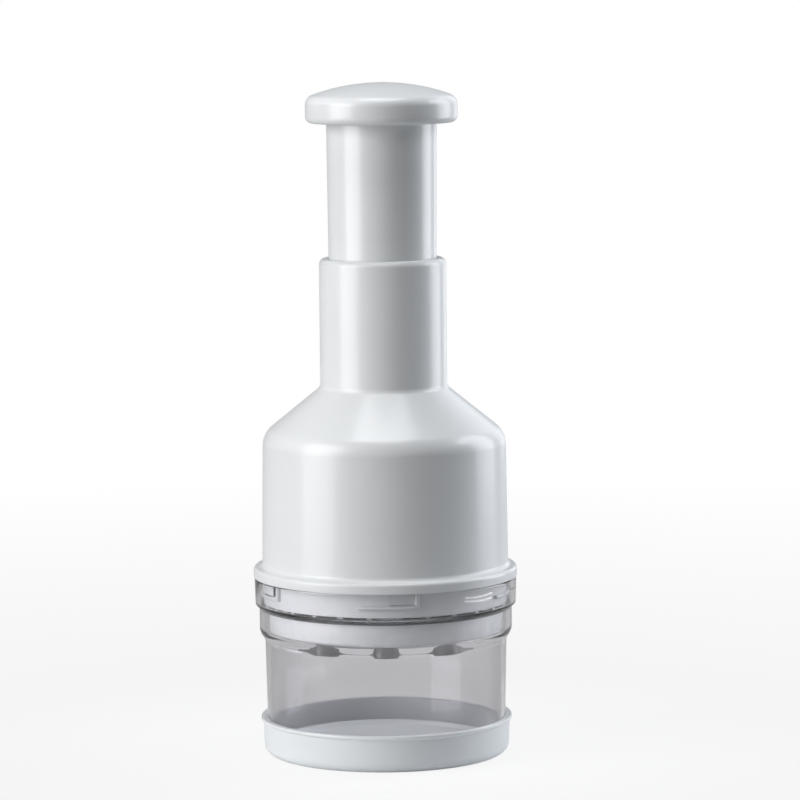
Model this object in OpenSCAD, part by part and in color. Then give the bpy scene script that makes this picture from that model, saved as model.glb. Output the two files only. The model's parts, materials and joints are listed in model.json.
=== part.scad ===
// Plunger food chopper: a palm-pushed knob drives a zigzag blade down through a wiper disc
// into a clear jar that stands in a push-on base, and a pair of saw-toothed crowns turns
// the blade a little at every stroke. Millimetres, +Z up, origin under the middle of the base.

/* [Stroke] */
// Travel of the plunger from rest to fully pressed
stroke = 31.5; // [26:0.5:34]
// Air left between the blade edge and the board when fully pressed
tip_gap = 0.3; // [0.2:0.1:1]
// Length of blade that shows under the wiper at rest
tip_show = 3.4; // [1:0.1:6]
// Height of tube left between knob and neck when fully pressed
finger_gap = 12.4; // [8:0.1:20]

/* [Base cup] */
// Height of the cup's wall
base_h = 12.3; // [10:0.1:16]
// Thickness of the floor that the jar's edge stands on
base_seat_t = 2.6; // [1.6:0.1:3]
// Wall thickness of the cup at its foot
base_wall = 1.05; // [0.6:0.05:2]
// How much the outside of the cup widens from foot to lip
base_flare = 0.4; // [0.2:0.1:1.5]
// How far the lip stands out of the wall
base_lip_w = 0.7; // [0.3:0.05:1.5]
// Height of the lip
base_lip_h = 1; // [0.8:0.1:3]
// Radius of the rounded foot edge
base_foot_r = 3.2; // [0.4:0.1:3.6]
// Radial play between jar and cup
base_fit = 0.2; // [0.1:0.05:0.5]
// Height of the chopping board's rim above the table
board_h = 6; // [4.4:0.1:7]
// Depth of the board's recessed middle
board_dish = 1.3; // [0.5:0.1:1.5]
// Width of the rim round the recess
board_rim_w = 2.2; // [1.6:0.1:2.4]
// Width of the recess's slope
board_slope_w = 0.5; // [0.2:0.1:0.8]
// Gap between the board's edge and the jar's inside
board_gap = 0.35; // [0.2:0.05:1]
// Radius of the board's rounded edge
board_edge_r = 0.8; // [0.3:0.1:1.2]
// Width of the ring that the cup stands on
foot_ring_w = 5.4; // [3:0.1:8]
// Depth of the hollow under the board
foot_hollow = 2.2; // [1:0.1:3]
// Thickness of the ribs in that hollow
foot_rib_t = 1.4; // [0.8:0.1:2.5]
// Height of those ribs' lower edges above the table
foot_rib_rise = 0.9; // [0.5:0.1:1.5]
// Number of ribs in that hollow
foot_rib_n = 8; // [4:1:12]

/* [Jar] */
// Outer radius at the top of the plain cylinder
jar_r = 39.65; // [38:0.05:42]
// Radius lost from there down to the lower edge
jar_taper_w = 0.7; // [0.2:0.05:0.8]
// Wall thickness
jar_wall = 1.6; // [1.2:0.1:2]
// Distance from the wiper's underside down to the foot of the widening
jar_waist_drop = 2; // [2:0.1:5]
// Height of the widening
jar_cone_h = 2.9; // [2:0.1:5]
// How far the band stands out of the cylinder
band_step = 1.8; // [1.5:0.05:3]
// How far the collar stands out of the band
collar_step = 1.55; // [1:0.05:2.5]
// Radius that the collar loses towards its lower edge
collar_taper_w = 0.25; // [0.05:0.05:0.4]
// Height of the collar
collar_h = 9.4; // [8.6:0.1:9.6]
// Radius of the rounded corner between widening and band
jar_corner_r = 3.5; // [2:0.1:4]
// Radius in the corner between cylinder and widening
jar_waist_r = 3; // [0.8:0.1:4]
// Radius of the smaller rounded edges
jar_edge_r = 0.5; // [0.2:0.05:0.7]

/* [Bayonet] */
// Number of lugs in the jar's collar
lug_n = 5; // [3:1:5]
// Angle that one lug spans
lug_angle = 11; // [6:0.5:14]
// Height of a lug
lug_h = 3.4; // [1.5:0.1:3.8]
// Thickness of the housing's catch ribs
catch_t = 1.2; // [0.8:0.1:1.5]
// Angle that one level catch rib spans
catch_angle = 27; // [20:0.5:30]
// Angle from the front to the catch's upright stop
catch_start_angle = 14.4; // [0:0.1:30]
// Angle that the upright stop spans
catch_stop_angle = 1.8; // [1:0.1:3]
// Angular play between lug and stop
lug_side_play = 0.6; // [0.3:0.1:1]
// Axial play between lug and catch
lug_play = 0.3; // [0.2:0.05:0.5]
// How far the catch ribs stand out of the skirt
catch_w = 1.1; // [0.8:0.05:1.4]
// Radial play between the catch ribs and the collar
collar_play = 0.3; // [0.2:0.05:0.6]

/* [Housing] */
// Radius lost from the flange up to the shoulder
bell_taper_w = 0.55; // [0.1:0.05:0.8]
// Wall thickness
bell_wall = 2.15; // [1.6:0.05:2.5]
// Angle of the shoulder above the horizontal
shoulder_angle = 39; // [34:1:44]
// Radius of the rounded shoulder
shoulder_r = 7.5; // [6:0.1:14]
// Height from the guide plate to the sharp corner of the shoulder
shoulder_rise = 7; // [5:0.1:12]
// Radius in the corner between neck and shoulder
neck_foot_r = 2.4; // [1:0.1:4]
// Wall thickness of the neck round the tube
neck_wall = 2.55; // [2.2:0.05:4]
// Length of the neck's guiding bore
neck_guide_l = 28.8; // [22:0.1:34]
// Radius of the neck's rounded rim
neck_rim_r = 2.1; // [0.5:0.1:2.1]
// Width of the chamfer at the mouth of the neck's bore
neck_mouth_w = 0.4; // [0.1:0.05:0.4]
// How far the flange stands out over the jar's collar
flange_w = 0.25; // [0:0.05:1]
// Thickness of the flange
flange_t = 3.45; // [1.5:0.05:4]
// Radius in the corner between bell and flange
flange_foot_r = 1.6; // [0.8:0.1:1.6]
// Length of the skirt below the flange
skirt_h = 8.05; // [7:0.05:8.4]
// Wall thickness of the skirt
skirt_wall = 1.8; // [1.5:0.1:2.1]

/* [Plunger] */
// Outer radius of the tube above its stop lip
tube_r = 17.4; // [16.5:0.1:18.5]
// Radius that the tube gains from there up to the knob
tube_draft_w = 0.55; // [0.1:0.05:0.55]
// Wall thickness of the tube
tube_wall = 2; // [1.5:0.1:2.5]
// Radial play of the tube's lower end in the neck
tube_play = 0.8; // [0.8:0.05:1]
// How far the stop lip stands out of the tube
lip_w = 1.5; // [1.3:0.05:1.8]
// Height of the stop lip
lip_h = 2.4; // [1.6:0.1:3]
// Radial gap round the stop lip
lip_gap = 0.3; // [0.2:0.05:0.5]
// Radius of the knob
knob_r = 24.8; // [23:0.1:28]
// Height of the knob's side up to the sharp corner of the dome
knob_side_h = 8.25; // [6:0.05:9.5]
// Radius of the dome's sphere
dome_r = 67; // [50:0.1:90]
// Radius of the knob's upper rounded edge
knob_top_r = 3.4; // [1:0.1:4]
// Radius of the knob's lower rounded edge
knob_low_r = 2.2; // [0.6:0.1:2.4]
// Depth of the groove that takes the tube's end
knob_socket = 3.5; // [2.5:0.1:4.5]
// Depth of the hollow ring under the knob
knob_hollow = 4; // [2:0.1:4.5]
// Wall thickness between that hollow and the groove for the tube
knob_wall = 2; // [1.5:0.1:2.4]
// Wall thickness between that hollow and the knob's side
knob_rim_w = 2.6; // [2.4:0.1:3.2]
// Number of ribs in the hollow ring
knob_rib_n = 12; // [6:1:16]
// Thickness of those ribs
knob_rib_t = 1.2; // [0.8:0.1:2]
// Length of the knob's boss below its underside
knob_boss_l = 12; // [8:0.5:18]
// Radius of the knob's boss
knob_boss_r = 7.5; // [6.5:0.1:8.5]
// Depth of the shaft in the knob above its underside
shaft_depth = 4; // [2:0.5:5]
// Radius of the shaft
shaft_r = 4; // [3.5:0.1:4.2]
// Distance between the two flats along the shaft
shaft_flats = 6.8; // [6.2:0.1:7]
// Radius of the cross pins
pin_r = 1; // [0.8:0.1:1.3]

/* [Return spring] */
// Radius of the spring's wire
wire_r = 0.7; // [0.5:0.05:0.9]
// Radius of the coil at the middle of the wire
coil_r = 10.6; // [10.2:0.1:11]
// Number of turns
coil_turns = 14; // [8:1:16]
// Thickness of the washer under the spring
washer_t = 0.8; // [0.5:0.1:1.2]

/* [Guide plate] */
// Thickness of the plate
plate_t = 2.2; // [2:0.1:3.5]
// Gap between the plate and the bell's wall
plate_gap = 3.2; // [1:0.1:5]
// Height of its ribs
plate_rib_h = 3; // [1.5:0.1:4]
// Thickness of its ribs
plate_rib_t = 1.6; // [1:0.1:2.5]
// Radius of the hub round the bush
hub_r = 8.4; // [7.9:0.1:8.6]
// Height of that hub above the plate
hub_h = 11; // [6:0.5:14]
// Wall thickness of the shaft bush
bush_wall = 2; // [1.4:0.1:2.3]
// Radius of the bush's flange
bush_flange_r = 7.6; // [7:0.1:8]
// Thickness of the bush's flange
bush_flange_t = 1; // [0.6:0.1:1.4]
// Angle that one window in the plate spans
window_angle = 24; // [10:1:26]
// Angle from a screw to the middle of the window beside it
window_offset_angle = 45; // [43:0.5:46]
// Angle by which the first screw is turned from +X
screw_turn_angle = 20; // [0:1:60]
// Distance of the screws from the plate's edge
screw_inset = 5.5; // [4:0.1:7]
// Outer radius of the screw bosses
screw_boss_r = 3.6; // [3:0.1:4]
// Radius of the screw's shank
screw_r = 1.5; // [1:0.1:1.7]
// Length of the screw's shank
screw_l = 10; // [7:0.5:11]
// Radius of the screw's head
screw_head_r = 2.9; // [2.4:0.1:3.2]
// Height of the screw's head
screw_head_h = 1.9; // [1.2:0.1:2.4]
// Thickness of the rubber stop ring
buffer_t = 1.5; // [1:0.1:2.5]
// Radial gap between that ring and the spring's washer
buffer_gap = 2.2; // [0.5:0.1:3]

/* [Index crowns] */
// Number of teeth round each crown
tooth_n = 12; // [8:1:16]
// Height of the teeth
tooth_h = 2.2; // [1.5:0.1:2.6]
// Air between meshing teeth
tooth_gap = 0.25; // [0.15:0.05:0.4]
// Inner radius of the outer crowns' teeth
crown_in_r = 11.6; // [11.4:0.1:12]
// Outer radius of the outer crowns' teeth
crown_out_r = 16; // [14.5:0.1:16.2]
// Inner radius of the inner crowns' teeth
drive_in_r = 5.4; // [5:0.1:6]
// Outer radius of the inner crowns' teeth
drive_out_r = 9.4; // [8:0.1:9.5]
// Air between the inner crowns at rest
drive_gap = 0.6; // [0.5:0.1:1.5]
// Thickness of the crown rings behind their teeth
crown_t = 1.9; // [1.5:0.1:3]
// Wall thickness of the skirt round the rotor's cup
cap_wall = 1; // [0.8:0.1:1.5]

/* [Blade and carrier] */
// Thickness of the steel strip
blade_t = 0.7; // [0.5:0.05:0.9]
// Distance between neighbouring bends on one side, as a share of the blade's reach
blade_pitch_share = 0.576; // [0.56:0.002:0.61]
// Radius of the bends at the middle of the strip, as a share of that distance
bend_share = 0.198; // [0.16:0.002:0.21]
// Height of the ground edge
edge_h = 1.8; // [1:0.1:3]
// Width left at the very edge
edge_t = 0.1; // [0.05:0.01:0.2]
// Height of the carrier's rib that holds the strip
rib_h = 6.4; // [4:0.1:8]
// Width of the carrier's rib
rib_w = 2.8; // [2:0.1:4]
// Thickness of the carrier's web
web_t = 2.4; // [1.8:0.1:3.5]
// Width of the web over the rib
web_w = 5.6; // [4:0.1:8]
// Width of the web's outer ring
web_ring_w = 4; // [3:0.1:6]
// Gap between the carrier and what it passes through
carrier_gap = 0.5; // [0.3:0.05:1]
// Radius of the blade rivets
rivet_r = 0.9; // [0.6:0.05:1.1]
// Radius of the rivets' heads
rivet_head_r = 1.5; // [1.2:0.05:1.8]
// Height of the rivets' heads
rivet_head_h = 0.5; // [0.3:0.05:0.8]

/* [Wiper and its ring] */
// Thickness of the wiper's plate
wiper_t = 2.4; // [1.6:0.1:3.5]
// Height of the wiper's rim
wiper_h = 8.2; // [6:0.1:9]
// Wall thickness of the rim
wiper_wall = 1.4; // [1:0.1:2]
// Gap between the rim and the inside of the jar's band
wiper_gap = 1.55; // [0.5:0.05:2]
// Radius of the wiper's rounded lower edge
wiper_edge_r = 2; // [1:0.1:2.3]
// Play on each side of the blade in its slot
slot_play = 0.4; // [0.25:0.05:0.6]
// Wall thickness of the wiper's collar
wiper_collar_t = 1; // [0.8:0.1:1.2]
// How far the collar's bead hooks over the ring
bead_w = 1; // [0.6:0.05:1.1]
// Height of the bead
bead_h = 1.1; // [0.8:0.1:1.5]
// Number of stiffening ribs between rim and collar
wiper_rib_n = 12; // [6:1:18]
// Gap between the retaining ring and the inside of the jar's band
ring_gap = 0.5; // [0.4:0.05:1]
// Width of the retaining ring
ring_w = 3.85; // [3.2:0.05:4]
// Gap between the wiper's rim and the ring above it
ring_rise = 0.4; // [0.3:0.05:1]
// Thickness of the retaining ring
ring_t = 1.2; // [0.8:0.1:1.6]
// Height of the spacer bumps on the ring
bump_h = 0.85; // [0.6:0.05:1.2]
// Number of spacer bumps
bump_n = 26; // [18:1:30]
// Running gap between the ring and the wiper's collar
ring_play = 0.3; // [0.2:0.05:0.5]
// Width of a spacer bump
bump_w = 1.6; // [1:0.1:2.5]
// Number of snap legs on the ring
leg_n = 6; // [3:1:8]
// Angle that one snap leg spans
leg_angle = 9; // [6:0.5:14]
// Thickness of a snap leg
leg_t = 1; // [0.8:0.1:1.2]
// Length of a snap leg
leg_l = 5.2; // [4.5:0.1:6]
// Depth of the snap groove in the skirt
snap_w = 0.7; // [0.4:0.05:0.8]
// Height of the snap groove
snap_h = 1.6; // [1:0.1:2]

/* [Hidden] */
$fn = 96;

// Overrun of a cutting shape past the face it cuts
over = 1;
// Play of a pressed or pinned fit
press_play = 0.03;
// Play of a part that slides or turns on another
run_play = 0.06;
// Steps in a small and in a large rounded corner
small_steps = 5;
large_steps = 14;
// Stations round one bend of the blade
bend_steps = 12;
// Rings in one turn of the spring, and sides of its wire
ring_steps = 16;
wire_sides = 6;
// Share of a tooth's pitch taken by the ramp and by the steep flank
ramp_share = 0.86;
flank_share = 0.07;
// Climb of the spring's dead turns as a share of the wire's radius
dead_pitch_share = 3;
// Steps in which a tooth's ramp follows the circle
ramp_steps = 3;
// Share of the crown ring's thickness that a row of teeth is sunk into it
root_share = 0.3;
// Distance of a rivet from the middle of its leg as a share of the leg's length
rivet_shift_share = 0.3;
// Share of a bump's pitch by which the row of bumps is turned
bump_shift_share = 0.45;
// Share of the lip height taken by the chamfer on the stop lip
lip_chamfer_share = 0.25;
// Share of the base lip's height that its lower bevel takes
lip_bevel_share = 0.4;

// Heights, from the table up
board_top = board_h;
tip_low = board_top - board_dish + tip_gap;
tip_z = tip_low + stroke;
wiper_z = tip_z + tip_show;
wiper_plate_top = wiper_z + wiper_t;
wiper_top = wiper_z + wiper_h;
ring_z = wiper_top + ring_rise;
ring_top = ring_z + ring_t;
skirt_z = ring_top + bump_h;
flange_z = skirt_z + skirt_h;
flange_top = flange_z + flange_t;
rib_z = wiper_plate_top + carrier_gap + stroke;
web_z = rib_z + rib_h;
web_top = web_z + web_t;
drive_tip = web_top + tooth_h;
push_tip = drive_tip + drive_gap;
push_root = push_tip + tooth_h;
push_top = push_root + crown_t;
cap_z = push_top + run_play;
cap_top = cap_z + crown_t;
fixed_root = cap_top + tooth_h + tooth_gap;
plate_z = fixed_root + crown_t;
plate_top = plate_z + plate_t;
buffer_top = plate_top + buffer_t;
tube_z = buffer_top + tip_gap + stroke;
stop_z = tube_z + lip_h + run_play;
neck_top = stop_z + neck_guide_l;
knob_z = neck_top + stroke + finger_gap;
knob_corner_z = knob_z + knob_side_h;
knob_top = knob_corner_z + dome_r - sqrt(dome_r * dome_r - knob_r * knob_r);
shoulder_z = plate_top + shoulder_rise;

// Radii of the neck and the plunger, from the axis out
tube_in_r = tube_r - tube_wall;
tube_top_r = tube_r + tube_draft_w;
neck_bore_r = tube_r + tube_play;
neck_r = neck_bore_r + neck_wall;
lip_r = tube_r + lip_w;
neck_cavity_r = lip_r + lip_gap;

// Radii of the jar and what fits in it, from the jar's wall inwards
jar_foot_r = jar_r - jar_taper_w;
waist_z = wiper_z - jar_waist_drop;
band_r = jar_r + band_step;
band_z = waist_z + jar_cone_h;
collar_r = band_r + collar_step;
collar_z = flange_z - collar_h;
collar_in_r = collar_r - jar_wall;
band_in_r = band_r - jar_wall;
board_r = jar_foot_r - jar_wall - board_gap;
board_rim_r = board_r - board_rim_w;
board_flat_r = board_rim_r - board_slope_w;
flange_r = collar_r + flange_w;
catch_r = collar_in_r - collar_play;
skirt_r = catch_r - catch_w;
lug_in_r = skirt_r + collar_play;
skirt_in_r = skirt_r - skirt_wall;
bell_r = skirt_in_r + bell_wall;
bell_top_r = bell_r - bell_taper_w;
neck_foot_z = shoulder_z + (bell_top_r - neck_r) * tan(shoulder_angle);
plate_r = bell_top_r - bell_wall - plate_gap;
screw_ring_r = plate_r - screw_inset;
wiper_r = band_in_r - wiper_gap;
ring_r = band_in_r - ring_gap;
ring_in_r = ring_r - ring_w;
leg_out_r = skirt_in_r - ring_play;
catch_z = flange_z - lug_h - catch_t - 2 * lug_play;
wiper_collar_r = ring_in_r - ring_play;
wiper_collar_in_r = wiper_collar_r - wiper_collar_t;
carrier_r = wiper_collar_in_r - carrier_gap;
blade_reach_r = carrier_r - carrier_gap;
blade_pitch = blade_pitch_share * blade_reach_r;
bend_r = bend_share * blade_pitch;

// Radii of the crowns and the shaft's bush
cup_in_r = drive_out_r + carrier_gap;
cup_r = crown_out_r;
cap_skirt_r = cup_r + press_play + cap_wall;
bush_in_r = shaft_r + run_play;
bush_r = bush_in_r + bush_wall;
spring_low = plate_top + washer_t;
washer_r = coil_r + 2 * wire_r;
rivet_z = rib_z + rib_h / 2;

echo(overall_height = knob_top, jar_diameter = 2 * jar_r, knob_top = knob_top);

// Angle brought between -180 and 180
function turned(a) = a - 360 * round(a / 360);

function unit(v) = v / norm(v);

function flat(p) = [p.x, p.y];

// Points of the arc that rounds corner b, between a and c, with radius r
function corner_arc(a, b, c, r, steps) =
    r == 0 ? [b] :
    let (
        u = unit(a - b),
        v = unit(c - b),
        half = acos(u * v) / 2,
        centre = b + unit(u + v) * r / sin(half),
        start = b + u * r / tan(half) - centre,
        stop = b + v * r / tan(half) - centre,
        from = atan2(start.y, start.x),
        sweep = turned(atan2(stop.y, stop.x) - from)
    )
    [for (k = [0:steps]) centre + r * [cos(from + sweep * k / steps), sin(from + sweep * k / steps)]];

// Outline whose points are [x, y, corner radius], with the corners rounded
function rounded(outline, steps = small_steps) =
    let (n = len(outline))
    [for (i = [0:n - 1])
        each corner_arc(flat(outline[(i + n - 1) % n]), flat(outline[i]),
            flat(outline[(i + 1) % n]), outline[i].z, steps)];

// Solid of revolution of an outline in radius and height
module turned_part(outline) {
    rotate_extrude() polygon(outline);
}

// Part of a ring between two radii, centred on an angle measured from the front towards +X
module ring_sector(r_in, r_out, h, angle, middle) {
    rotate([0, 0, middle - 90 - angle / 2])
        rotate_extrude(angle = angle)
            translate([r_in, 0]) square([r_out - r_in, h]);
}

module ring(r_in, r_out, h) {
    difference() {
        cylinder(r = r_out, h = h);
        translate([0, 0, -over]) cylinder(r = r_in, h = h + 2 * over);
    }
}

// Radius of the jar's outside at a height, on its drafted cylinder
function jar_r_at(z) = jar_foot_r + jar_taper_w * (z - base_seat_t) / (waist_z - base_seat_t);

module base_cup() {
    foot_r = jar_foot_r + base_fit + base_wall;
    wall_top_r = foot_r + base_flare;
    lip_r = wall_top_r + base_lip_w;
    lip_z = base_h - base_lip_h;
    hollow_r = foot_r - foot_ring_w;
    color("white") {
        turned_part(rounded([
            [0, foot_hollow, 0],
            [hollow_r, foot_hollow, 0],
            [hollow_r, 0, 0],
            [foot_r, 0, base_foot_r],
            [wall_top_r, lip_z - base_lip_h * lip_bevel_share, 0],
            [lip_r, lip_z, 0],
            [lip_r, base_h, base_lip_w / 2],
            [jar_r_at(base_h) + base_fit, base_h, base_lip_w / 2],
            [jar_foot_r + base_fit, base_seat_t, 0],
            [board_r, base_seat_t, 0],
            [board_r, board_h, board_edge_r],
            [board_rim_r, board_h, 0],
            [board_flat_r, board_h - board_dish, 0],
            [0, board_h - board_dish, 0]
        ]));
        for (i = [0:foot_rib_n - 1])
            rotate([0, 0, 360 * i / foot_rib_n])
                translate([foot_ring_w, -foot_rib_t / 2, foot_rib_rise])
                    cube([hollow_r - foot_ring_w + base_wall, foot_rib_t, foot_hollow - foot_rib_rise / 2]);
    }
}

module jar() {
    inner_waist_z = waist_z + jar_wall / 2;
    inner_band_z = band_z + jar_wall / 2;
    inner_collar_z = collar_z + jar_wall / 2;
    color("whitesmoke") {
        turned_part(rounded([
            [jar_foot_r - jar_wall, base_seat_t, 0],
            [jar_foot_r, base_seat_t, jar_edge_r / 2],
            [jar_r, waist_z, jar_waist_r],
            [band_r, band_z, jar_corner_r],
            [band_r, collar_z - jar_edge_r, jar_edge_r / 2],
            [collar_r - collar_taper_w, collar_z + jar_edge_r, jar_edge_r],
            [collar_r, flange_z, jar_edge_r],
            [collar_in_r, flange_z, jar_edge_r / 2],
            [collar_in_r, inner_collar_z, jar_edge_r],
            [band_in_r, inner_collar_z, jar_edge_r],
            [band_in_r, inner_band_z, jar_corner_r - jar_wall],
            [jar_r - jar_wall, inner_waist_z, jar_waist_r + jar_wall]
        ]));
        for (i = [0:lug_n - 1])
            translate([0, 0, catch_z + catch_t + lug_play])
                ring_sector(lug_in_r, collar_in_r + jar_wall / 2, lug_h, lug_angle,
                    catch_start_angle - catch_stop_angle / 2 - lug_side_play - lug_angle / 2 + 360 * i / lug_n);
    }
}

// The bell with its neck: outside and inside outlines, revolved and cut apart
module housing_shell() {
    inner_top_r = bell_top_r - bell_wall;
    // Distance along the shoulder's normal that the wall takes in height
    shoulder_drop = bell_wall / cos(shoulder_angle);
    inner_corner_z = shoulder_z - shoulder_drop + bell_wall * tan(shoulder_angle);
    inner_foot_z = inner_corner_z + (inner_top_r - neck_cavity_r) * tan(shoulder_angle);
    difference() {
        turned_part(rounded([
            [0, skirt_z, 0],
            [skirt_r, skirt_z, 0],
            [skirt_r, flange_z, 0],
            [flange_r, flange_z, 0],
            [flange_r, flange_top, flange_t / 3],
            [bell_r, flange_top, flange_foot_r],
            [bell_top_r, shoulder_z, shoulder_r],
            [neck_r, neck_foot_z, neck_foot_r],
            [neck_r, neck_top, neck_rim_r],
            [0, neck_top, 0]
        ], large_steps));
        turned_part(rounded([
            [0, skirt_z - over, 0],
            [skirt_in_r, skirt_z - over, 0],
            [skirt_in_r, flange_z, 0],
            [inner_top_r, inner_corner_z, shoulder_r - bell_wall],
            [neck_cavity_r, inner_foot_z, 0],
            [neck_cavity_r, stop_z, 0],
            [neck_bore_r, stop_z, 0],
            [neck_bore_r, neck_top - neck_mouth_w, 0],
            [neck_bore_r + neck_mouth_w, neck_top, 0],
            [neck_bore_r + neck_mouth_w, neck_top + over, 0],
            [0, neck_top + over, 0]
        ], large_steps));
        // Groove that the retaining ring's legs snap into
        translate([0, 0, ring_top + leg_l - snap_h])
            ring(skirt_in_r - over, skirt_in_r + snap_w, snap_h);
    }
}

module housing() {
    // Cone in the middle of the shoulder's wall, where the screw bosses end
    cone_r = bell_top_r + shoulder_rise / tan(shoulder_angle) - bell_wall / sin(shoulder_angle) / 2;
    color("white") {
        difference() {
            union() {
                housing_shell();
                for (i = [0:2])
                    intersection() {
                        rotate([0, 0, screw_turn_angle + 120 * i])
                            translate([screw_ring_r, 0, plate_top])
                                cylinder(r = screw_boss_r, h = cone_r * tan(shoulder_angle));
                        translate([0, 0, plate_top])
                            cylinder(r1 = cone_r, r2 = 0, h = cone_r * tan(shoulder_angle));
                    }
            }
            for (i = [0:2])
                rotate([0, 0, screw_turn_angle + 120 * i])
                    translate([screw_ring_r, 0, plate_top - over])
                        cylinder(r = screw_r + press_play, h = screw_l + over);
        }
        for (i = [0:lug_n - 1]) {
            stop = catch_start_angle + 360 * i / lug_n;
            translate([0, 0, catch_z])
                ring_sector(skirt_r - skirt_wall / 2, catch_r, catch_t, catch_angle, stop - catch_angle / 2);
            translate([0, 0, catch_z])
                ring_sector(skirt_r - skirt_wall / 2, catch_r - run_play, flange_z - catch_z + flange_t / 2,
                    catch_stop_angle, stop);
        }
    }
}

module guide_plate() {
    color("white") {
        difference() {
            union() {
                translate([0, 0, plate_z]) cylinder(r = plate_r, h = plate_t);
                translate([0, 0, plate_z]) cylinder(r = hub_r, h = plate_t + hub_h);
                // Spigot that centres the fixed crown
                translate([0, 0, plate_z - crown_t / 2]) cylinder(r = crown_in_r - tooth_gap, h = crown_t);
                for (i = [0:5])
                    rotate([0, 0, screw_turn_angle + 30 + 60 * i])
                        translate([lip_r + plate_rib_t, -plate_rib_t / 2, plate_top - plate_t / 2])
                            cube([plate_r - lip_r - 2 * plate_rib_t, plate_rib_t, plate_rib_h + plate_t / 2]);
            }
            translate([0, 0, plate_z - crown_t]) cylinder(r = bush_r + press_play, h = crown_t + plate_t + hub_h + over);
            translate([0, 0, plate_z - crown_t])
                cylinder(r = bush_flange_r + press_play, h = crown_t + bush_flange_t + press_play);
            for (i = [0:2])
                rotate([0, 0, screw_turn_angle + 120 * i])
                    translate([screw_ring_r, 0, plate_z - over])
                        cylinder(r = screw_r + tooth_gap, h = plate_t + 2 * over);
            // Windows on both sides of every screw
            for (i = [0:2], side = [-1, 1])
                translate([0, 0, plate_z - over])
                    ring_sector(lip_r + 3 * plate_rib_t, plate_r - 2 * plate_rib_t, plate_t + 2 * over,
                        window_angle, 90 + screw_turn_angle + side * window_offset_angle + 120 * i);
        }
    }
}

// Height of a crown's saw-toothed face above its roots, at a share of one tooth's pitch
function tooth_z(share) =
    share < ramp_share ? tooth_h * share / ramp_share :
    share < 1 - flank_share ? tooth_h :
    tooth_h * (1 - share) / flank_share;

// Shares of the pitch at which the tooth's face has a corner
tooth_corner_shares = concat(
    [for (k = [0:ramp_steps]) ramp_share * k / ramp_steps],
    [1 - flank_share]);

// Ring whose one face is saw-toothed: the teeth point up when back is below them, else down
module saw_ring(r_in, r_out, back, phase) {
    m = len(tooth_corner_shares);
    n = tooth_n * m;
    up = back < 0;
    stations = [for (i = [0:tooth_n - 1], s = tooth_corner_shares)
        [phase + 360 * (i + s) / tooth_n, tooth_z(s)]];
    points = [for (s = stations) each [
        [r_in * cos(s.x), r_in * sin(s.x), back],
        [r_out * cos(s.x), r_out * sin(s.x), back],
        [r_out * cos(s.x), r_out * sin(s.x), s.y],
        [r_in * cos(s.x), r_in * sin(s.x), s.y]]];
    sides = [for (i = [0:n - 1], k = [0:3])
        let (a = 4 * i + k, b = 4 * i + (k + 1) % 4, c = 4 * ((i + 1) % n) + (k + 1) % 4, d = 4 * ((i + 1) % n) + k)
        each [[a, b, c], [a, c, d]]];
    polyhedron(points = points, faces = up ? sides : [for (f = sides) [f[2], f[1], f[0]]], convexity = 6);
}

module fixed_crown() {
    color("gainsboro") {
        translate([0, 0, fixed_root]) ring(crown_in_r - tooth_gap + press_play, crown_out_r + tooth_gap, crown_t);
        translate([0, 0, fixed_root - tooth_h])
            saw_ring(crown_in_r, crown_out_r, tooth_h + crown_t * root_share, 0);
    }
}

module shaft_bush() {
    color("dimgray")
        difference() {
            union() {
                translate([0, 0, plate_z]) cylinder(r = bush_r, h = plate_t + hub_h);
                translate([0, 0, plate_z]) cylinder(r = bush_flange_r, h = bush_flange_t);
            }
            translate([0, 0, plate_z - over])
                double_flat(bush_in_r, shaft_flats + 2 * run_play, plate_t + hub_h + 2 * over);
        }
}

// Round bar with two flats along it
module double_flat(r, across, h) {
    intersection() {
        cylinder(r = r, h = h);
        translate([-r, -across / 2, 0]) cube([2 * r, across, h]);
    }
}

module guide_screws() {
    slot_w = screw_r / 2;
    color("silver")
        for (i = [0:2])
            rotate([0, 0, screw_turn_angle + 120 * i])
                translate([screw_ring_r, 0, plate_z])
                    difference() {
                        union() {
                            translate([0, 0, -screw_head_h]) cylinder(r = screw_head_r, h = screw_head_h);
                            cylinder(r = screw_r, h = plate_t + screw_l - over);
                        }
                        for (a = [0, 90])
                            rotate([0, 0, a])
                                translate([-screw_r, -slot_w / 2, -screw_head_h - over])
                                    cube([2 * screw_r, slot_w, over + screw_head_h / 2]);
                    }
}

module stop_ring() {
    color("dimgray")
        translate([0, 0, plate_top]) ring(washer_r + buffer_gap, lip_r, buffer_t);
}

module retaining_ring() {
    color("white") {
        translate([0, 0, ring_z]) ring(ring_in_r, ring_r, ring_t);
        for (i = [0:bump_n - 1])
            rotate([0, 0, 360 * (i + bump_shift_share) / bump_n - 90])
                translate([skirt_in_r, -bump_w / 2, ring_top - ring_t / 2])
                    cube([ring_r - skirt_in_r - run_play, bump_w, bump_h + ring_t / 2]);
        for (i = [0:leg_n - 1]) {
            translate([0, 0, ring_top - ring_t / 2])
                ring_sector(leg_out_r - leg_t, leg_out_r, leg_l + ring_t / 2, leg_angle, 360 * i / leg_n);
            translate([0, 0, ring_top + leg_l - snap_h + run_play])
                ring_sector(leg_out_r - leg_t / 2, skirt_in_r + snap_w - ring_play, snap_h - 2 * run_play, leg_angle, 360 * i / leg_n);
        }
    }
}

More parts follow.
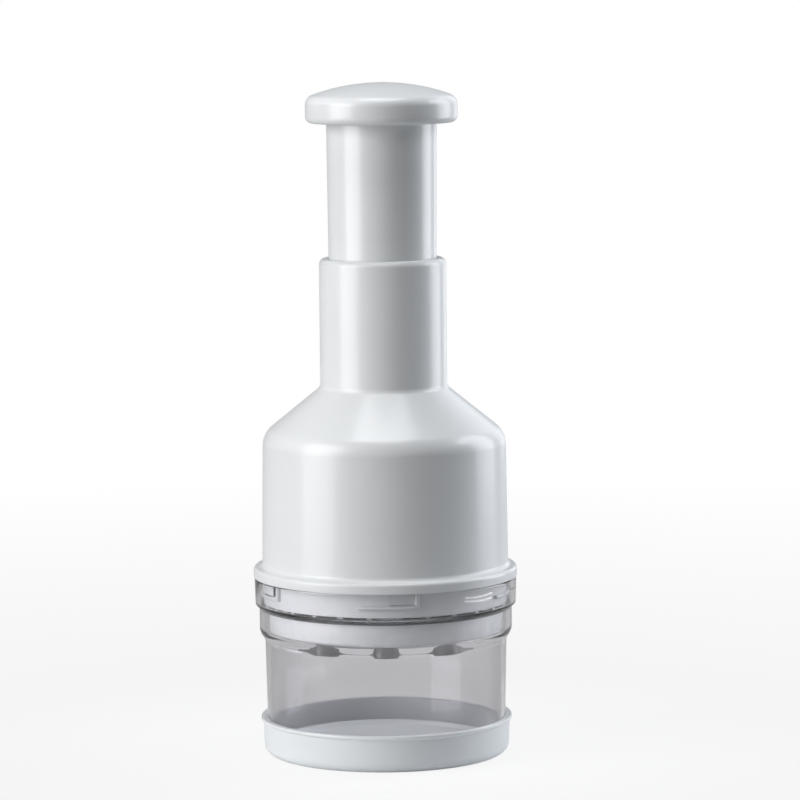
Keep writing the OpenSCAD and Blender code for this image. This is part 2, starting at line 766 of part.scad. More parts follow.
// The zigzag: bend centres from one side to the other, with the way round each
// bend (1 anticlockwise, -1 clockwise) and its radius; both ends have radius zero
bend_centre_r = blade_reach_r - bend_r - blade_t / 2;
function on_circle(x, side) = [x, side * sqrt(bend_centre_r * bend_centre_r - x * x)];
end_y = sqrt(blade_reach_r * blade_reach_r - pow(1.5 * blade_pitch, 2)) - blade_t - bend_r;
blade_stops = [
    [[-1.5 * blade_pitch, end_y], 0, 0],
    [on_circle(-blade_pitch, -1), 1, bend_r],
    [on_circle(-blade_pitch / 2, 1), -1, bend_r],
    [on_circle(0, -1), 1, bend_r],
    [on_circle(blade_pitch / 2, 1), -1, bend_r],
    [on_circle(blade_pitch, -1), 1, bend_r],
    [[1.5 * blade_pitch, end_y], 0, 0]];

// Direction of the straight leg from stop i to the next one
function leg_direction(i) =
    let (
        a = blade_stops[i],
        b = blade_stops[i + 1],
        d = b[0] - a[0]
    )
    atan2(d.y, d.x) + asin((a[1] * a[2] - b[1] * b[2]) / norm(d));

// Point and direction at every station of the strip, from end to end
function stations(extra = 0) =
    let (first = leg_direction(0), last = leg_direction(len(blade_stops) - 2))
    concat(
        [[blade_stops[0][0] - extra * [cos(first), sin(first)], first]],
        [for (i = [1:len(blade_stops) - 2])
            let (
                way = blade_stops[i][1],
                in_dir = leg_direction(i - 1),
                sweep = turned(leg_direction(i) - in_dir)
            )
            for (k = [0:bend_steps])
                let (dir = in_dir + sweep * k / bend_steps)
                [blade_stops[i][0] - way * blade_stops[i][2] * [-sin(dir), cos(dir)], dir]],
        [[blade_stops[len(blade_stops) - 1][0] + extra * [cos(last), sin(last)], last]]);

function beside(station, w) = station[0] + w * [-sin(station[1]), cos(station[1])];

// Outline of a band of width w along the zigzag, its ends lengthened by extra
function zigzag(w, extra = 0) =
    let (s = stations(extra), n = len(s))
    concat(
        [for (i = [0:n - 1]) beside(s[i], w / 2)],
        [for (i = [n - 1:-1:0]) beside(s[i], -w / 2)]);

module wiper() {
    color("white") {
        difference() {
            turned_part(rounded([
                [0, wiper_z, 0],
                [wiper_r, wiper_z, wiper_edge_r],
                [wiper_r, wiper_top, wiper_wall / 4],
                [wiper_r - wiper_wall, wiper_top, wiper_wall / 4],
                [wiper_r - wiper_wall, wiper_plate_top, 0],
                [wiper_collar_r, wiper_plate_top, 0],
                [wiper_collar_r, ring_top + ring_play, 0],
                [wiper_collar_r + bead_w, ring_top + ring_play, 0],
                [wiper_collar_r, ring_top + ring_play + bead_h, 0],
                [wiper_collar_in_r, ring_top + ring_play + bead_h, 0],
                [wiper_collar_in_r, wiper_plate_top, 0],
                [0, wiper_plate_top, 0]
            ]));
            translate([0, 0, wiper_z - over])
                linear_extrude(height = wiper_t + 2 * over)
                    polygon(zigzag(blade_t + 2 * slot_play, slot_play));
        }
        for (i = [0:wiper_rib_n - 1])
            rotate([0, 0, 360 * (i + 0.5) / wiper_rib_n])
                translate([wiper_collar_r - wiper_collar_t / 2, -wiper_collar_t / 2, wiper_plate_top - wiper_t / 2])
                    cube([wiper_r - wiper_wall / 2 - wiper_collar_r + wiper_collar_t / 2, wiper_collar_t,
                        wiper_h - wiper_t / 2 - wiper_wall]);
    }
}

// Points of the knob's dome, from the axis to near its edge, which is rounded
dome_z = knob_top - dome_r;
dome_edge_angle = acos(knob_r / dome_r);
dome = [for (k = [large_steps:-1:2])
    let (a = dome_edge_angle + (90 - dome_edge_angle) * k / large_steps)
    [dome_r * cos(a), dome_z + dome_r * sin(a), 0]];

module knob() {
    socket_r = tube_top_r + press_play;
    color("white")
        difference() {
            union() {
                difference() {
                    turned_part(rounded(concat(
                        [[0, knob_z, 0], [knob_r, knob_z, knob_low_r], [knob_r, knob_corner_z, knob_top_r]],
                        [for (i = [len(dome) - 1:-1:0]) dome[i]])));
                    translate([0, 0, knob_z - over])
                        ring(socket_r + knob_wall, knob_r - knob_rim_w, knob_hollow + over);
                }
                for (i = [0:knob_rib_n - 1])
                    rotate([0, 0, 360 * i / knob_rib_n])
                        translate([socket_r + knob_wall / 2, -knob_rib_t / 2, knob_z + knob_low_r])
                            cube([knob_r - knob_rim_w / 2 - socket_r - knob_wall / 2, knob_rib_t,
                                knob_hollow - knob_low_r / 2]);
                translate([0, 0, knob_z - knob_boss_l]) cylinder(r = knob_boss_r, h = knob_boss_l + knob_hollow);
            }
            translate([0, 0, knob_z - over])
                ring(tube_in_r - press_play, socket_r, knob_socket + press_play + over);
            translate([0, 0, knob_z - knob_boss_l - over])
                cylinder(r = shaft_r + press_play, h = knob_boss_l + shaft_depth + press_play + over);
            translate([0, 0, knob_z - knob_boss_l / 2])
                rotate([90, 0, 0]) cylinder(r = pin_r + press_play, h = 2 * knob_boss_r + 2 * over, center = true);
        }
}

module plunger_tube() {
    chamfer = lip_h * lip_chamfer_share;
    color("white")
        turned_part([
            [tube_in_r, tube_z],
            [lip_r - chamfer, tube_z],
            [lip_r, tube_z + chamfer],
            [lip_r, tube_z + lip_h],
            [tube_r, tube_z + lip_h],
            [tube_top_r, knob_z],
            [tube_top_r, knob_z + knob_socket],
            [tube_in_r, knob_z + knob_socket]
        ]);
}

module shaft() {
    flats_top = plate_top + hub_h + stroke + knob_boss_l;
    color("silver")
        difference() {
            union() {
                translate([0, 0, push_tip])
                    double_flat(shaft_r, shaft_flats, flats_top - push_tip);
                translate([0, 0, flats_top])
                    cylinder(r = shaft_r, h = knob_z + shaft_depth - flats_top);
            }
            translate([0, 0, knob_z - knob_boss_l / 2])
                rotate([90, 0, 0]) cylinder(r = pin_r + press_play, h = 2 * shaft_r + 2 * over, center = true);
            translate([0, 0, push_top + pin_r + crown_t / 2])
                rotate([90, 0, 0]) cylinder(r = pin_r + press_play, h = 2 * shaft_r + 2 * over, center = true);
        }
}

module knob_pin() {
    color("silver")
        translate([0, 0, knob_z - knob_boss_l / 2])
            rotate([90, 0, 0]) cylinder(r = pin_r, h = 2 * knob_boss_r, center = true);
}

push_neck_r = drive_in_r + pin_r;

module push_crown() {
    color("gainsboro")
        difference() {
            union() {
                translate([0, 0, push_root]) cylinder(r = drive_out_r + tooth_gap, h = crown_t);
                translate([0, 0, push_root]) cylinder(r = push_neck_r, h = 2 * crown_t + 2 * pin_r);
                translate([0, 0, push_tip])
                    saw_ring(drive_in_r, drive_out_r, tooth_h + crown_t * root_share, 180 / tooth_n);
            }
            translate([0, 0, push_tip - over])
                double_flat(shaft_r + press_play, shaft_flats + 2 * press_play, 3 * crown_t + tooth_h + 2 * pin_r + 2 * over);
            translate([0, 0, push_top + pin_r + crown_t / 2])
                rotate([90, 0, 0]) cylinder(r = pin_r + press_play, h = 2 * push_neck_r + 2 * over, center = true);
        }
}

module crown_pin() {
    color("silver")
        translate([0, 0, push_top + pin_r + crown_t / 2])
            rotate([90, 0, 0]) cylinder(r = pin_r, h = 2 * push_neck_r - pin_r, center = true);
}

module spring_washer() {
    color("silver")
        translate([0, 0, plate_top]) ring(hub_r + run_play, washer_r, washer_t);
}

module return_spring() {
    low = spring_low + wire_r;
    rise = knob_z - wire_r - low;
    rings = coil_turns * ring_steps;
    dead = 1 / coil_turns;
    flat_rise = dead_pitch_share * wire_r;
    // Dead turns at both ends lie almost flat, and the climb lies between them
    function climb(t) =
        t < dead ? flat_rise * t / dead :
        t > 1 - dead ? rise - flat_rise * (1 - t) / dead :
        flat_rise + (rise - 2 * flat_rise) * (t - dead) / (1 - 2 * dead);
    points = [for (i = [0:rings], s = [0:wire_sides - 1])
        let (
            t = i / rings,
            a = 360 * coil_turns * t,
            w = 360 * s / wire_sides,
            r = coil_r + wire_r * cos(w)
        )
        [r * cos(a), r * sin(a), low + climb(t) + wire_r * sin(w)]];
    walls = [for (i = [0:rings - 1], s = [0:wire_sides - 1])
        let (a = i * wire_sides + s, b = i * wire_sides + (s + 1) % wire_sides)
        each [[a, b, b + wire_sides], [a, b + wire_sides, a + wire_sides]]];
    first = [for (s = [1:wire_sides - 2]) [0, s + 1, s]];
    last = [for (s = [1:wire_sides - 2]) rings * wire_sides * [1, 1, 1] + [0, s, s + 1]];
    echo(least_gap_between_turns = min([for (i = [0:rings - ring_steps])
        climb((i + ring_steps) / rings) - climb(i / rings)]) - 2 * wire_r);
    color("silver") polyhedron(points = points, faces = concat(walls, first, last), convexity = 20);
}

module rotor_cap() {
    color("gainsboro") {
        difference() {
            union() {
                translate([0, 0, web_top]) cylinder(r = cap_skirt_r, h = cap_top - web_top);
                translate([0, 0, cap_top])
                    saw_ring(crown_in_r, crown_out_r, -crown_t * root_share, 0);
            }
            translate([0, 0, web_top - over]) cylinder(r = cup_r + press_play, h = cap_z - web_top + over);
            translate([0, 0, web_top]) cylinder(r = push_neck_r + tooth_gap, h = cap_top - web_top + over);
        }
    }
}

module blade_carrier() {
    color("white") {
        difference() {
            union() {
                intersection() {
                    translate([0, 0, rib_z])
                        linear_extrude(height = rib_h + web_t / 2) polygon(zigzag(rib_w, rib_w / 2));
                    translate([0, 0, rib_z - over]) cylinder(r = carrier_r, h = rib_h + web_t + over);
                }
                intersection() {
                    translate([0, 0, web_z]) linear_extrude(height = web_t) polygon(zigzag(web_w, web_w / 2));
                    translate([0, 0, web_z - over]) cylinder(r = carrier_r - web_ring_w / 2, h = web_t + 2 * over);
                }
                translate([0, 0, web_z]) ring(carrier_r - web_ring_w, carrier_r, web_t);
                translate([0, 0, web_z]) cylinder(r = cap_skirt_r, h = web_t);
                translate([0, 0, web_top - web_t / 2]) ring(cup_in_r, cup_r, cap_z - web_top + web_t / 2);
                translate([0, 0, web_top])
                    saw_ring(drive_in_r, drive_out_r, -web_t * root_share, 0);
            }
            translate([0, 0, rib_z - over])
                linear_extrude(height = rib_h + over) polygon(zigzag(blade_t + 2 * press_play, press_play));
            for (p = rivet_places) rivet_at(p) rivet_bar(rivet_r + press_play, rib_w + 2 * over);
        }
    }
}

// Middle of each straight leg of the strip, with the leg's direction
rivet_places = let (s = stations())
    [for (i = [0:len(blade_stops) - 2])
        let (
            a = s[i == 0 ? 0 : i * (bend_steps + 1)],
            b = s[i * (bend_steps + 1) + 1]
        )
        [(a[0] + b[0]) / 2 + leg_shift(i) * (b[0] - a[0]), b[1]]];

// The rivets sit off the legs' middles, in turn towards one end and the other
function leg_shift(i) = (i % 2 == 0 ? 1 : -1) * rivet_shift_share;

module rivet_at(place) {
    translate([place[0].x, place[0].y, rivet_z]) rotate([0, 0, place[1]]) children();
}

module rivet_bar(r, l) {
    rotate([90, 0, 0]) cylinder(r = r, h = l, center = true);
}

module blade_rivets() {
    color("silver")
        for (p = rivet_places)
            rivet_at(p) {
                rivet_bar(rivet_r, rib_w + rivet_head_h);
                for (side = [-1, 1])
                    translate([0, side * (rib_w / 2 + rivet_head_h / 2), 0])
                        rivet_bar(rivet_head_r, rivet_head_h);
            }
}

// Ground strip: its section has a flat top and a two-sided bevel down to the edge
module blade_strip() {
    s = stations();
    n = len(s);
    top = web_z;
    profile = [[edge_t / 2, tip_z], [blade_t / 2, tip_z + edge_h], [blade_t / 2, top],
        [-blade_t / 2, top], [-blade_t / 2, tip_z + edge_h], [-edge_t / 2, tip_z]];
    m = len(profile);
    points = [for (i = [0:n - 1], p = profile) let (q = beside(s[i], p.x)) [q.x, q.y, p.y]];
    walls = [for (i = [0:n - 2], k = [0:m - 1])
        let (a = i * m + k, b = i * m + (k + 1) % m)
        each [[a, b, b + m], [a, b + m, a + m]]];
    first = [[5, 4, 1], [5, 1, 0], [4, 3, 2], [4, 2, 1]];
    last = [for (f = first) [f[2] + (n - 1) * m, f[1] + (n - 1) * m, f[0] + (n - 1) * m]];
    color("silver")
        difference() {
            polyhedron(points = points, faces = concat(walls, first, last), convexity = 12);
            for (p = rivet_places) rivet_at(p) rivet_bar(rivet_r + press_play, rib_w);
        }
}

base_cup();
jar();
housing();
guide_plate();
fixed_crown();
shaft_bush();
guide_screws();
stop_ring();
retaining_ring();
wiper();
knob();
plunger_tube();
shaft();
knob_pin();
push_crown();
crown_pin();
spring_washer();
return_spring();
rotor_cap();
blade_carrier();
blade_strip();
blade_rivets();
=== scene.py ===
import bmesh
import bpy
import json
from math import asin, atan2, cos, hypot, pi, radians, sin, sqrt, tan
from mathutils import Matrix, Vector


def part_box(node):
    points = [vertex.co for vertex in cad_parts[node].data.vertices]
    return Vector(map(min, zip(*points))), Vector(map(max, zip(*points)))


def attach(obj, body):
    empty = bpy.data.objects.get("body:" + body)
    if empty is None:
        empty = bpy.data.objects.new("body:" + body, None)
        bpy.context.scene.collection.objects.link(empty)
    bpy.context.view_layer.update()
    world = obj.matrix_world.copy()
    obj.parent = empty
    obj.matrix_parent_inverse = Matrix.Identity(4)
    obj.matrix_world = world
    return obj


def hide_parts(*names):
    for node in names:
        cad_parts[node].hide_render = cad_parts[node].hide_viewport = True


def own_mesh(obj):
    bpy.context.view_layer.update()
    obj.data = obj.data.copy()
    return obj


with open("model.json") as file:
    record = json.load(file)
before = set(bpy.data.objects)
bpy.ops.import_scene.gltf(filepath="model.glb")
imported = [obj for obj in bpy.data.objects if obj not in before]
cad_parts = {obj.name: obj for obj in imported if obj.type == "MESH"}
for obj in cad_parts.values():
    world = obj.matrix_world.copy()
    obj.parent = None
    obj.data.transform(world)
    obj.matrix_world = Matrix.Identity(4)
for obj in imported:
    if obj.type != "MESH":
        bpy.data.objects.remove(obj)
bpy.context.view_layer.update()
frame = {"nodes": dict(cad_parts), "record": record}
print("frame loaded:", len(frame["nodes"]), "nodes")

mm = 0.001

meshFacts = {
    "seed": 1 * mm,         # side of the plane that is merged into a starting vertex
    "near": 0.001 * mm,     # a vertex this near to a corner is that corner
    "same": 0.003 * mm,     # vertices nearer than this are merged
    "sharp": 35,            # degrees between two faces from which their edge stays sharp
    "faces": 168,           # faces round a turned piece
    "bevelSteps": 2,
}

# edge radii that recur on the moulded pieces
crispEdge = 0.1 * mm
ribEdge = 0.15 * mm
fineEdge = 0.2 * mm
softEdge = 0.3 * mm
roundEdge = 0.4 * mm


# small helpers for working in edit mode

def objectMode():
    if bpy.context.object and bpy.context.object.mode != "OBJECT":
        bpy.ops.object.mode_set(mode="OBJECT")


def deselectAll():
    objectMode()
    bpy.ops.object.select_all(action="DESELECT")


def pick(*objects):
    deselectAll()
    for one in objects:
        one.select_set(True)
    bpy.context.view_layer.objects.active = objects[0]


def editMode(piece):
    pick(piece)
    bpy.ops.object.mode_set(mode="EDIT")
    bpy.ops.mesh.select_mode(type="VERT")


def selectWhere(piece, test, kind="VERT"):
    # in edit mode: selects the vertices or edges that pass the test
    bpy.ops.mesh.select_mode(type=kind)
    bpy.ops.mesh.select_all(action="DESELECT")
    mesh = bmesh.from_edit_mesh(piece.data)
    parts = {"VERT": mesh.verts, "EDGE": mesh.edges}[kind]
    for part in parts:
        if test(part):
            part.select_set(True)
    mesh.select_flush_mode()
    bmesh.update_edit_mesh(piece.data)


def applyModifier(piece, kind, **settings):
    pick(piece)
    modifier = piece.modifiers.new(kind.lower(), kind)
    for name, value in settings.items():
        setattr(modifier, name, value)
    bpy.ops.object.modifier_apply(modifier=modifier.name)


def bevelled(piece, width):
    applyModifier(piece, "BEVEL", width=width, segments=meshFacts["bevelSteps"], limit_method="ANGLE")
    return piece


def applyPlace():
    # the picked pieces end at the origin, unturned and unscaled, their place kept in the mesh
    bpy.ops.object.transform_apply(location=True, rotation=True, scale=True)


def finishMesh(piece, sharp=meshFacts["sharp"]):
    editMode(piece)
    bpy.ops.mesh.select_all(action="SELECT")
    bpy.ops.mesh.remove_doubles(threshold=meshFacts["same"])
    bpy.ops.mesh.normals_make_consistent(inside=False)
    objectMode()
    applyPlace()
    bpy.ops.object.shade_smooth_by_angle(angle=radians(sharp))


def joined(name, pieces):
    pick(*pieces)
    if len(pieces) > 1:
        bpy.ops.object.join()
    whole = bpy.context.view_layer.objects.active
    whole.name = name
    whole.data.name = name
    return whole


def copied(piece):
    pick(piece)
    bpy.ops.object.duplicate(linked=False)
    return bpy.context.view_layer.objects.active


def turn(piece, angle):
    # turns a finished piece about the middle axis
    pick(piece)
    piece.rotation_euler = (0, 0, angle)
    applyPlace()


def around(piece, count):
    # the piece and its copies, evenly spaced about the middle axis
    ring = [piece] + [copied(piece) for _ in range(count - 1)]
    for k, one in enumerate(ring):
        turn(one, 2 * pi * k / count)
    return ring


def startPoint(name, x, y, z):
    # one vertex to draw from: a small plane merged at its centre
    deselectAll()
    bpy.ops.mesh.primitive_plane_add(size=meshFacts["seed"], location=(0, 0, 0))
    piece = bpy.context.object
    piece.name = name
    editMode(piece)
    bpy.ops.mesh.select_all(action="SELECT")
    bpy.ops.mesh.merge(type="CENTER")
    bpy.ops.transform.translate(value=(x, y, z))
    return piece


def drawTo(here, there):
    step = Vector(there) - Vector(here)
    bpy.ops.mesh.extrude_region_move(TRANSFORM_OT_translate={"value": step})
    return there


def drawnOutline(name, corners, steps):
    # corners are (radius, height, rounding); the outline closes unless both its ends lie on the axis
    spots = [Vector((radius, 0, height)) for radius, height, _ in corners]
    piece = startPoint(name, *spots[0])
    for here, there in zip(spots, spots[1:]):
        drawTo(here, there)
    if spots[0].x > 0 or spots[-1].x > 0:
        selectWhere(piece, lambda v: min((v.co - spots[k]).length for k in (0, -1)) < meshFacts["near"])
        bpy.ops.mesh.edge_face_add()
    for k, (_, _, rounding) in enumerate(corners):
        if rounding <= 0:
            continue
        before = spots[k - 1] - spots[k]
        after = spots[(k + 1) % len(spots)] - spots[k]
        selectWhere(piece, lambda v: (v.co - spots[k]).length < meshFacts["near"])
        reach = rounding / tan(before.angle(after) / 2)
        bpy.ops.mesh.bevel(offset=reach, offset_type="OFFSET", segments=steps, profile=0.5,
                           affect="VERTICES", clamp_overlap=False)
    return piece


def lathed(name, corners, steps):
    # steps is the number of edges in each rounding
    piece = drawnOutline(name, corners, steps)
    bpy.ops.mesh.select_all(action="SELECT")
    bpy.ops.mesh.spin(steps=meshFacts["faces"], dupli=False, angle=2 * pi, use_auto_merge=True,
                      center=(0, 0, 0), axis=(0, 0, 1))
    finishMesh(piece)
    return piece


def ringBlock(name, radii, heights, span, middle, steps, edge):
    # block of a ring; middle is its angle from the front towards +X, in degrees
    inner, outer = radii
    low, high = heights
    piece = startPoint(name, inner, 0, low)
    here = (inner, 0, low)
    for corner in ((outer, 0, low), (outer, 0, high), (inner, 0, high)):
        here = drawTo(here, corner)
    bpy.ops.mesh.select_all(action="SELECT")
    bpy.ops.mesh.edge_face_add()
    bpy.ops.mesh.select_all(action="SELECT")
    bpy.ops.mesh.spin(steps=steps, dupli=False, angle=radians(span), center=(0, 0, 0), axis=(0, 0, 1))
    finishMesh(piece)
    # the spin may run either way, so the turn is read from where the block's middle lies
    total = sum((v.co for v in piece.data.vertices), Vector())
    turn(piece, radians(middle - 90) - atan2(total.y, total.x))
    return bevelled(piece, edge)


def box(name, low, high, edge):
    deselectAll()
    middle = [(a + b) / 2 for a, b in zip(low, high)]
    bpy.ops.mesh.primitive_cube_add(size=1, location=middle)
    piece = bpy.context.object
    piece.name = name
    piece.scale = [b - a for a, b in zip(low, high)]
    applyPlace()
    return bevelled(piece, edge)


def ready(piece, body, material, slot, *nodes):
    # the last step of every piece: material, body and the nodes that it stands for
    piece.data.materials.clear()
    piece.data.materials.append(material)
    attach(piece, body)
    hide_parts(*nodes)
    return piece


def extent(node):
    # radius, lowest and highest height of a CAD node
    low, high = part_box(node)
    return (high[0] - low[0]) / 2, low[2], high[2]


# materials

class Wire:
    # an output socket that takes part in sums; every operation adds a Math node
    def __init__(self, nodes, socket):
        self.nodes = nodes
        self.socket = socket

    def maths(self, operation, other):
        return self.nodes.node("ShaderNodeMath", {"operation": operation}, {0: self, 1: other})

    def __add__(self, other):
        return self.maths("ADD", other)

    def __mul__(self, other):
        return self.maths("MULTIPLY", other)

    def larger(self, other):
        return self.maths("MAXIMUM", other)

    __radd__ = __add__


class Nodes:
    # a node tree and the ways to add nodes to it
    def __init__(self, tree):
        self.tree = tree

    def node(self, kind, settings=None, sockets=None, out=0):
        added = self.tree.nodes.new(kind)
        for name, value in (settings or {}).items():
            setattr(added, name, value)
        for name, value in (sockets or {}).items():
            self.feed(added.inputs[name], value)
        return Wire(self, added.outputs[out])

    def feed(self, socket, value):
        if isinstance(value, Wire):
            self.tree.links.new(value.socket, socket)
        else:
            socket.default_value = value

    def ray(self, question):
        return self.node("ShaderNodeLightPath", out=question)

    def ramp(self, value, low, high, start=0.0, stop=1.0):
        # value between low and high brought to start..stop, and held beyond them
        return self.node("ShaderNodeMapRange", {"clamp": True}, {
            "Value": value, "From Min": low, "From Max": high, "To Min": start, "To Max": stop})

    def blend(self, share, first, second):
        return self.node("ShaderNodeMix", {"data_type": "RGBA"}, {0: share, 6: first, 7: second}, out=2)


class Finish(Nodes):
    # one material, with its shader and the object's coordinates
    def __init__(self, name):
        self.material = bpy.data.materials.new(name)
        self.material.use_nodes = True
        super().__init__(self.material.node_tree)
        self.shader = self.tree.nodes["Principled BSDF"]
        self.place = self.node("ShaderNodeTexCoord", out="Object")

    def shade(self, **values):
        # words in the names of the shader's sockets are joined, such as BaseColor
        names = {s.name.replace(" ", ""): s for s in self.shader.inputs}
        for name, value in values.items():
            self.feed(names[name], value)

    def mixWith(self, share, other):
        mixed = self.node("ShaderNodeMixShader", sockets={
            0: share, 1: Wire(self, self.shader.outputs[0]), 2: other})
        self.feed(self.tree.nodes["Material Output"].inputs["Surface"], mixed)

    def stretched(self, scale):
        return self.node("ShaderNodeMapping", sockets={"Vector": self.place, "Scale": scale})

    def noise(self, scale, detail, vector=None, rough=0.5):
        return self.node("ShaderNodeTexNoise", sockets={
            "Vector": vector or self.place, "Scale": scale, "Detail": detail, "Roughness": rough})

    def bump(self, height, distance, strength):
        return self.node("ShaderNodeBump", sockets={
            "Height": height, "Distance": distance, "Strength": strength})

    def height(self):
        return self.node("ShaderNodeSeparateXYZ", sockets={"Vector": self.place}, out="Z")


def grey(level, warm=0.0):
    return (level * (1 + warm), level, level * (1 - warm), 1)


def darkened(tone, share):
    return tuple(c * share for c in tone[:3]) + (1,)


# in the looks, a scale is in features a metre, and a range is where a noise fades in

plasticLook = {
    "index": 1.5, "coatRough": 0.12,
    "peelScale": 900, "peelDepth": 0.004 * mm, "peelStrength": 0.5,     # orange peel of the moulded surface
    "cloudScale": 28, "cloudRange": (0.35, 0.7), "cloudTone": 0.975,    # slow change of tone
    "smudgeScale": 70, "smudgeRange": (0.35, 0.75), "smudgeRough": 0.035,     # smudges of handling
    "scuffScale": 420, "scuffStretch": (1, 1, 6), "scuffRange": (0.62, 0.72),
    "scuffSmudge": (0.45, 0.7),     # the scuffs lie where the smudges do
    "scuffTone": 0.88, "scuffRough": 0.2, "scuffDepth": -1.5,
    "footRange": (0.5, 0.66), "footScuffs": 0.5,
}


def mouldedPlastic(name, tone, roughness=0.3, scuffs=0.25, lowScuff=None, coat=0.2):
    # lowScuff is the height up to which the foot is rubbed more
    f = plasticLook
    finish = Finish(name)
    cloud = finish.noise(f["cloudScale"], 2)
    smudge = finish.noise(f["smudgeScale"], 5, rough=0.62)
    hairs = finish.noise(f["scuffScale"], 4, vector=finish.stretched(f["scuffStretch"]), rough=0.7)
    scuff = finish.ramp(hairs, *f["scuffRange"]) * finish.ramp(smudge, *f["scuffSmudge"]) * scuffs
    if lowScuff:
        foot = finish.ramp(finish.height(), lowScuff, 0.0)
        scuff = scuff + foot * finish.ramp(hairs, *f["footRange"]) * f["footScuffs"]
    colour = finish.blend(finish.ramp(cloud, *f["cloudRange"]), tone, darkened(tone, f["cloudTone"]))
    colour = finish.blend(scuff, colour, darkened(tone, f["scuffTone"]))
    smudged = finish.ramp(smudge, *f["smudgeRange"]) * f["smudgeRough"]
    peel = finish.noise(f["peelScale"], 2) + scuff * f["scuffDepth"]
    finish.shade(BaseColor=colour, Roughness=roughness + smudged + scuff * f["scuffRough"],
                 Normal=finish.bump(peel, f["peelDepth"], f["peelStrength"]),
                 IOR=f["index"], CoatWeight=coat, CoatRoughness=f["coatRough"])
    return finish.material


clearLook = {
    "index": 1.49, "roughness": 0.03,
    "passes": (0.97, 0.97, 0.98, 1),     # share of the lamps' light that a wall lets through
    "edgeRange": (0.2, 0.9),
    "smudgeScale": 60, "smudgeRange": (0.3, 0.75), "smudgeTone": 0.97, "smudges": 0.5,
    "dullRange": (0.5, 0.8), "dullRough": 0.05,
    "scratchScale": 500, "scratchStretch": (6, 6, 1), "scratchRange": (0.66, 0.74),
    "scratchRough": 0.08, "scratchDepth": -0.01,
    "waveScale": 45, "waveDepth": 0.02 * mm, "waveStrength": 0.35,
    # painted shade: a near-black line painted into the colour at the collar's foot, where the step of the
    # wall is seen edge on and looks dark
    "stepLow": 48.5 * mm, "stepHigh": 49.3 * mm, "stepFade": 0.25 * mm, "stepShare": 0.9, "stepTone": 0.08,
}


def clearPlastic(name, tint, edgeTintAndShade):
    f = clearLook
    finish = Finish(name)
    smudge = finish.noise(f["smudgeScale"], 5, rough=0.6)
    hairs = finish.noise(f["scratchScale"], 4, vector=finish.stretched(f["scratchStretch"]), rough=0.7)
    scratch = finish.ramp(hairs, *f["scratchRange"])
    smudged = finish.ramp(smudge, *f["smudgeRange"]) * f["smudges"]
    colour = finish.blend(smudged, tint, darkened(tint, f["smudgeTone"]))
    # darker where the wall is seen edge on: partly because more of the plastic lies in the way, partly
    # painted shade that stands in for the dark reflections at the edges
    edge = finish.node("ShaderNodeLayerWeight", sockets={"Blend": 0.5}, out="Facing")
    colour = finish.blend(finish.ramp(edge, *f["edgeRange"]), colour, edgeTintAndShade)
    # painted shade: the band round the collar's step is blended towards near-black
    height = finish.height()
    step = (finish.ramp(height, f["stepLow"] - f["stepFade"], f["stepLow"])
            * finish.ramp(height, f["stepHigh"] + f["stepFade"], f["stepHigh"]))
    colour = finish.blend(step * f["stepShare"], colour, grey(f["stepTone"]))
    dull = finish.ramp(smudge, *f["dullRange"]) * f["dullRough"]
    wave = finish.noise(f["waveScale"], 1) + scratch * f["scratchDepth"]
    finish.shade(BaseColor=colour, Roughness=f["roughness"] + dull + scratch * f["scratchRough"],
                 Normal=finish.bump(wave, f["waveDepth"], f["waveStrength"]),
                 IOR=f["index"], TransmissionWeight=1.0)
    # light passes on to what stands behind, so the shadow of the jar stays soft and pale
    through = finish.node("ShaderNodeBsdfTransparent", sockets={"Color": f["passes"]})
    finish.mixWith(finish.ray("Is Shadow Ray"), through)
    return finish.material


steelLook = {
    "drawn": (1, 1, 0.03),        # the grain runs along a shaft or pin
    "ground": (0.05, 0.05, 1),    # the grain runs round the piece
    "grainRange": (0.3, 0.7), "grainTone": 0.86, "grainWarm": 0.004,
    "lineRange": (0.35, 0.7), "lineRough": 0.08, "lineDepth": 0.006 * mm, "lineStrength": 0.4,
    "stainScale": 90, "stainRange": (0.5, 0.75), "stainRough": 0.07,
}


def steel(name, level, roughness, grain, way):
    # grain is the scale of its lines, and way is how they were made: drawn or ground
    f = steelLook
    finish = Finish(name)
    lines = finish.noise(grain, 4, vector=finish.stretched(f[way]), rough=0.65)
    stains = finish.noise(f["stainScale"], 4, rough=0.6)
    colour = finish.blend(finish.ramp(lines, *f["grainRange"]),
                          grey(level), grey(level * f["grainTone"], f["grainWarm"]))
    rubbed = finish.ramp(lines, *f["lineRange"]) * f["lineRough"]
    stained = finish.ramp(stains, *f["stainRange"]) * f["stainRough"]
    finish.shade(BaseColor=colour, Metallic=1.0, Roughness=roughness + rubbed + stained,
                 Normal=finish.bump(lines, f["lineDepth"], f["lineStrength"]))
    return finish.material


rubberLook = {
    "index": 1.5, "roughness": 0.62, "tone": 0.035,
    "grainScale": 1500, "grainDepth": 0.02 * mm, "grainStrength": 0.4,
    "dustScale": 120, "dustRange": (0.5, 0.75), "dustTone": 0.09, "dust": 0.5,
    "dullRange": (0.4, 0.7), "dullRough": 0.2,
}


def rubber(name):
    f = rubberLook
    finish = Finish(name)
    grain = finish.noise(f["grainScale"], 3)
    dust = finish.noise(f["dustScale"], 5, rough=0.65)
    dusty = finish.ramp(dust, *f["dustRange"]) * f["dust"]
    finish.shade(BaseColor=finish.blend(dusty, grey(f["tone"]), grey(f["dustTone"])),
                 Roughness=f["roughness"] + finish.ramp(dust, *f["dullRange"]) * f["dullRough"],
                 Normal=finish.bump(grain, f["grainDepth"], f["grainStrength"]), IOR=f["index"])
    return finish.material


whiteTone = (0.80, 0.825, 0.84, 1)
innerTone = (0.76, 0.775, 0.78, 1)
crownTone = (0.62, 0.63, 0.62, 1)
bushTone = (0.06, 0.062, 0.065, 1)
jarTint = (0.735, 0.73, 0.745, 1)
jarEdgeTintAndShade = (0.5, 0.5, 0.515, 1)

